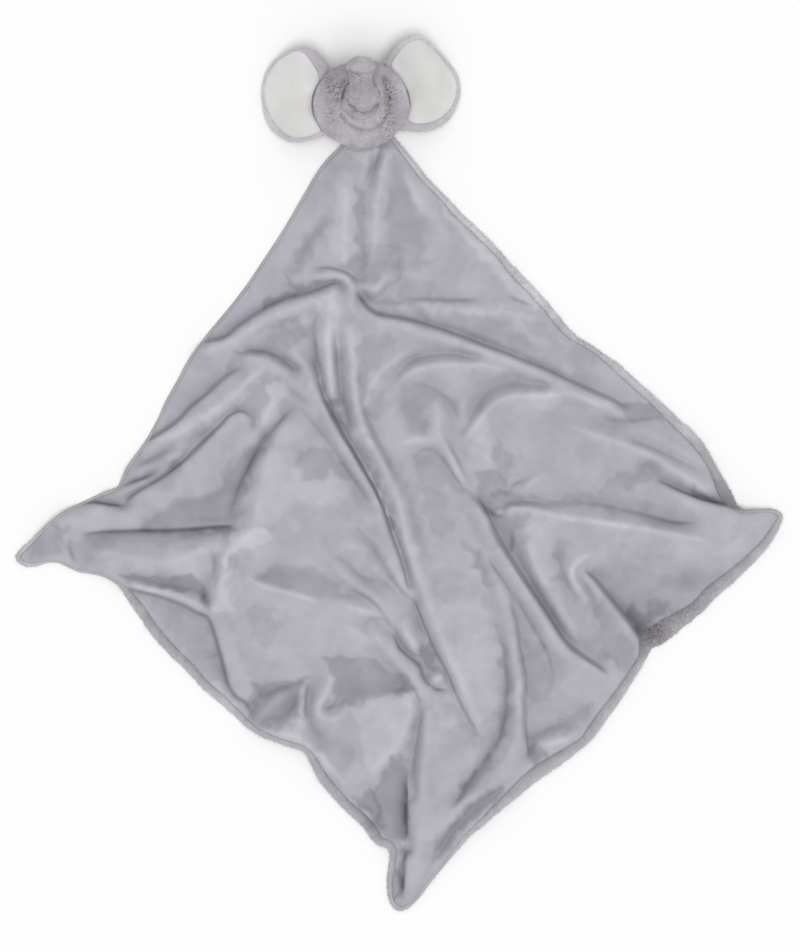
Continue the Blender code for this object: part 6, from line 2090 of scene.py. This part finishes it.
def make_ear(name, side, rim_table, lining_table, plush, lining_finish):
    """Ear: a plush back whose rim rolls up round a smooth lining."""
    rim = ear_flat(rim_table, side, 0.0)
    centre = rim.mean(axis=0)
    rim = spoked(rim, centre, EAR_SPOKES)
    edge = spoked(ear_flat(lining_table, side, EAR_ROOT_BAND), centre, EAR_SPOKES)
    gap = np.linalg.norm(rim - centre, axis=1)
    from_root = rim[:, 0] - (root_side(rim[:, 1]) - float(root_side(0.0)) - EAR_EDGE)
    free = eased(np.clip(from_root / EAR_ROOT_REACH - 0.3, 0.0, 1.0), 3)
    least = EAR_ROOT_LEAST + (EAR_LEAST_BAND - EAR_ROOT_LEAST) * free
    reach = np.minimum(np.linalg.norm(edge - centre, axis=1), gap - least)
    unit = (rim - centre) / gap[:, None]

    def loop(share_in, lift, inwards=0.0):
        """Loop between the rim, at 0, and the lining's edge, at 1."""
        far = gap + (reach - gap) * share_in - inwards
        flat = centre + unit * far[:, None]
        return ear_point(side, flat, np.full(EAR_SPOKES, 1.0) * lift)

    def disc(shares, lifts):
        rings = []
        for share, lift in zip(shares, lifts):
            flat = centre + unit * (reach * share)[:, None]
            rings.append(ear_point(side, flat, np.full(EAR_SPOKES, 1.0) * lift))
        return rings

    low = EAR_BACK_PLUSH - EAR_EDGE
    round_in = EAR_EDGE - PILE_THIN
    rings = disc(DISC_SHARES, (-round_in,) * 3)
    rings += [loop(share, round_in * lift, PILE_THIN * inset) for share, lift, inset in EAR_ROLL]
    rings.append(loop(1.0, low))
    rings += disc(DISC_SHARES[::-1], (low,) * 3)
    middle = ear_point(side, centre[None], np.array([-round_in]))
    inner = ear_point(side, centre[None], np.array([low]))
    if side < 0:
        rings = [ring[::-1] for ring in rings]
    back = ringed(name + "_back_cover", rings, plush, first=middle, last=inner)
    furred = np.zeros(len(back.data.vertices))
    first, end = EAR_FURRED_RINGS
    furred[first * EAR_SPOKES:end * EAR_SPOKES] = np.tile(free[::side], end - first)
    mark_points(back, "pile", furred)
    # Ear's back made lighter all over, with painted shade near the head
    shades = shaded_places(seen_px(points_of(back)), EAR_SHADES_PX)
    mark_points(back, "painted_shade_and_light", EAR_USUAL_SHADE + shades)

    top = low + EAR_LINING_CLOTH
    base = low + EAR_ROOM
    lifts = [base] * len(LINING_UNDER) + [top + lift for _, lift in LINING_EDGE]
    lifts += [top + EAR_CROWN * (1 - share ** 2) + LINING_RISE for share in LINING_OVER]
    rings = disc(LINING_UNDER + tuple(share for share, _ in LINING_EDGE) + LINING_OVER, lifts)
    if side < 0:
        rings = [ring[::-1] for ring in rings]
    points = np.vstack(rings)
    up = np.tile([0.0, 0.0, 1.0], (len(points), 1))
    soft = pressed(points, up, EAR_FORMS)
    soft = lumpy(soft, up, EAR_LUMP, EAR_LUMP_HEIGHT, EAR_SEED)
    under = len(LINING_UNDER) * EAR_SPOKES
    soft[:under] = points[:under]
    rings = [soft[k * EAR_SPOKES:(k + 1) * EAR_SPOKES] for k in range(len(rings))]
    lining = ringed(name + "_lining_cloth", rings, lining_finish, *middles(rings))
    # Painted shadow of the head on the lining, and lighter places
    mark_points(lining, "painted_shade_and_light", shaded_places(seen_px(points_of(lining)), LINING_SHADES_PX))
    return back, lining


# Pieces

BLOTCH = 20 * MM
# Gain of the velour's colour from its painted light and shade and nap tone
PAINTED_LIGHT_CURVE = ((0.0, 0.12), (0.5, 0.355), (0.75, 0.5), (1.0, 0.65))
velour = finish_of(
    "velour", (0.418, 0.408, 0.453), (0.465, 0.455, 0.50), 42 * MM, 1.6 * MM, (0.45, 0.4), 0.25,
    tone_and_painted_light=PAINTED_LIGHT_CURVE,
)
plush_skin = finish_of(
    "plush_ground", (0.50, 0.475, 0.505), (0.56, 0.535, 0.565), BLOTCH, 1.8 * MM, (0.3, 0.5), 0.5,
    SKIN_GLOW,
)
# Plush pile, with painted shade toward its roots
plush_pile = finish_of(
    "plush_pile", (0.62, 0.58, 0.625), (0.69, 0.65, 0.695), BLOTCH, 1.4 * MM, (0.9, 0.5),
    root_shade_share=0.10, specks=SPECKS,
)
under_skin = finish_of(
    "plush_under", (0.44, 0.425, 0.46), (0.49, 0.475, 0.51), BLOTCH, 1.8 * MM, (0.3, 0.5), 0.3,
    SKIN_GLOW, specks=SPECKS,
)
border_fur = finish_of(
    "border_pile", (0.51, 0.49, 0.525), (0.58, 0.56, 0.595), BLOTCH, 1.4 * MM, (0.3, 0.5),
    specks=SPECKS,
)
# The lining's knots are nil, so this block gives it only its painted shade
lining_cloth = finish_of(
    "lining", (0.69, 0.69, 0.68), (0.74, 0.74, 0.73), 30 * MM, 1.4 * MM, (0.25, 0.4), 0.2,
    specks=(SPECKS[0], 0.0),
)
pile = pile_tree()

rim, seam = rim_and_seam()
heights = traced_heights(rim)
fine = mesh_plan(
    seam, MESH_STEP_PX, (
        ([VALLEYS_PX[name] for name in TUCKS], TUCK_ROWS_PX),
        (list(VALLEYS_PX.values()), VALLEY_ROWS_PX), (list(CRESTS_PX.values()), CREST_ROWS_PX),
    )
)
coarse = mesh_plan(seam, UNDER_STEP_PX, ((list(VALLEYS_PX.values()) + list(CRESTS_PX.values()), (0.0,)),))
face = make_blanket_face(fine, coarse, seam, heights, velour)
back = make_blanket_back(coarse, rim, seam, heights, under_skin)
border_pile = grown_pile(
    "border_pile", back, pile, border_fur, 11, 0.2,
    Tufts=9.0e5, Length=2.6 * MM, Width=0.6 * MM, Lean=1.5, Swirl=14 * MM,
)
for piece, slot in ((face, "velour"), (back, "plush"), (border_pile, "plush")):
    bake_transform(piece)
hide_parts("blanket_face")
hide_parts("blanket_back")

front = make_head_half("head_front", True, plush_skin)
nape = make_head_half("head_back", False, plush_skin)
trunk = make_trunk(plush_skin)
stuffed = (
    (front, "head", ("head_front_cover", "head_filling"), 7.0e5, 3.6 * MM, 21),
    (nape, "head", ("head_back_cover",), 4.0e5, 4.2 * MM, 22),
    (trunk, "trunk", ("trunk_cover", "trunk_filling"), 9.0e5, 3.0 * MM, 23),
)
for piece, body, nodes, tufts, length, seed in stuffed:
    hair = grown_pile(piece.name + "_pile", piece, pile, plush_pile, seed, 0.4, Tufts=tufts, Length=length)
    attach(piece, body)
    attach(hair, body)
    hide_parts(*nodes)
ears = (
    ("left_ear", -1, LEFT_EAR_PX, LEFT_LINING_PX, 31),
    ("right_ear", 1, RIGHT_EAR_PX, RIGHT_LINING_PX, 32),
)
for name, side, rim_table, lining_table, seed in ears:
    ear_back, ear_lining = make_ear(name, side, rim_table, lining_table, plush_skin, lining_cloth)
    hair = grown_pile(
        name + "_pile", ear_back, pile, border_fur, seed, 0.15,
        Tufts=6.0e5, Length=2.4 * MM, Width=0.55 * MM,
    )
    for piece in (ear_back, ear_lining, hair):
        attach(piece, name)
    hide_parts(name + "_back")
    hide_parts(name + "_lining")


# Floor, camera and light

FLOOR_REACH = 8.0
FLOOR_WHITE = (0.98, 0.98, 0.98, 1)
floor = bpy.data.objects.new("floor", bpy.data.meshes.new("floor"))
corners = [(x * FLOOR_REACH, y * FLOOR_REACH, 0) for x, y in ((-1, -1), (1, -1), (1, 1), (-1, 1))]
floor.data.from_pydata(corners, [], [(0, 1, 2, 3)])
floor_finish = bpy.data.materials.new("floor")
floor_finish.use_nodes = True
floor_shader = floor_finish.node_tree.nodes["Principled BSDF"]
floor_shader.inputs["Base Color"].default_value = FLOOR_WHITE
floor_shader.inputs["Roughness"].default_value = 0.9
floor.data.materials.append(floor_finish)
bpy.context.collection.objects.link(floor)
camera = bpy.data.objects.new("camera", bpy.data.cameras.new("camera"))
bpy.context.collection.objects.link(camera)
camera.location = (PER_PX, -PER_PX, CAMERA_HEIGHT)
camera.data.sensor_fit = "VERTICAL"
camera.data.sensor_height = SENSOR_MM
camera.data.lens = LENS_MM
bpy.context.scene.camera = camera
KEY_POWER = 1.7
KEY_WIDTH = math.radians(40)
KEY_WAY = (-0.05, 0.16, -1.0)
SKY_POWER = 0.48
sun = bpy.data.lights.new("key", "SUN")
sun.energy = KEY_POWER
sun.angle = KEY_WIDTH
key = bpy.data.objects.new("key", sun)
bpy.context.collection.objects.link(key)
key.rotation_euler = Vector(KEY_WAY).to_track_quat("-Z", "Y").to_euler()
world = bpy.data.worlds.new("world")
bpy.context.scene.world = world
world.use_nodes = True
world.node_tree.nodes["Background"].inputs[0].default_value = (1, 1, 1, 1)
world.node_tree.nodes["Background"].inputs[1].default_value = SKY_POWER
bpy.context.scene.view_settings.view_transform = "Standard"
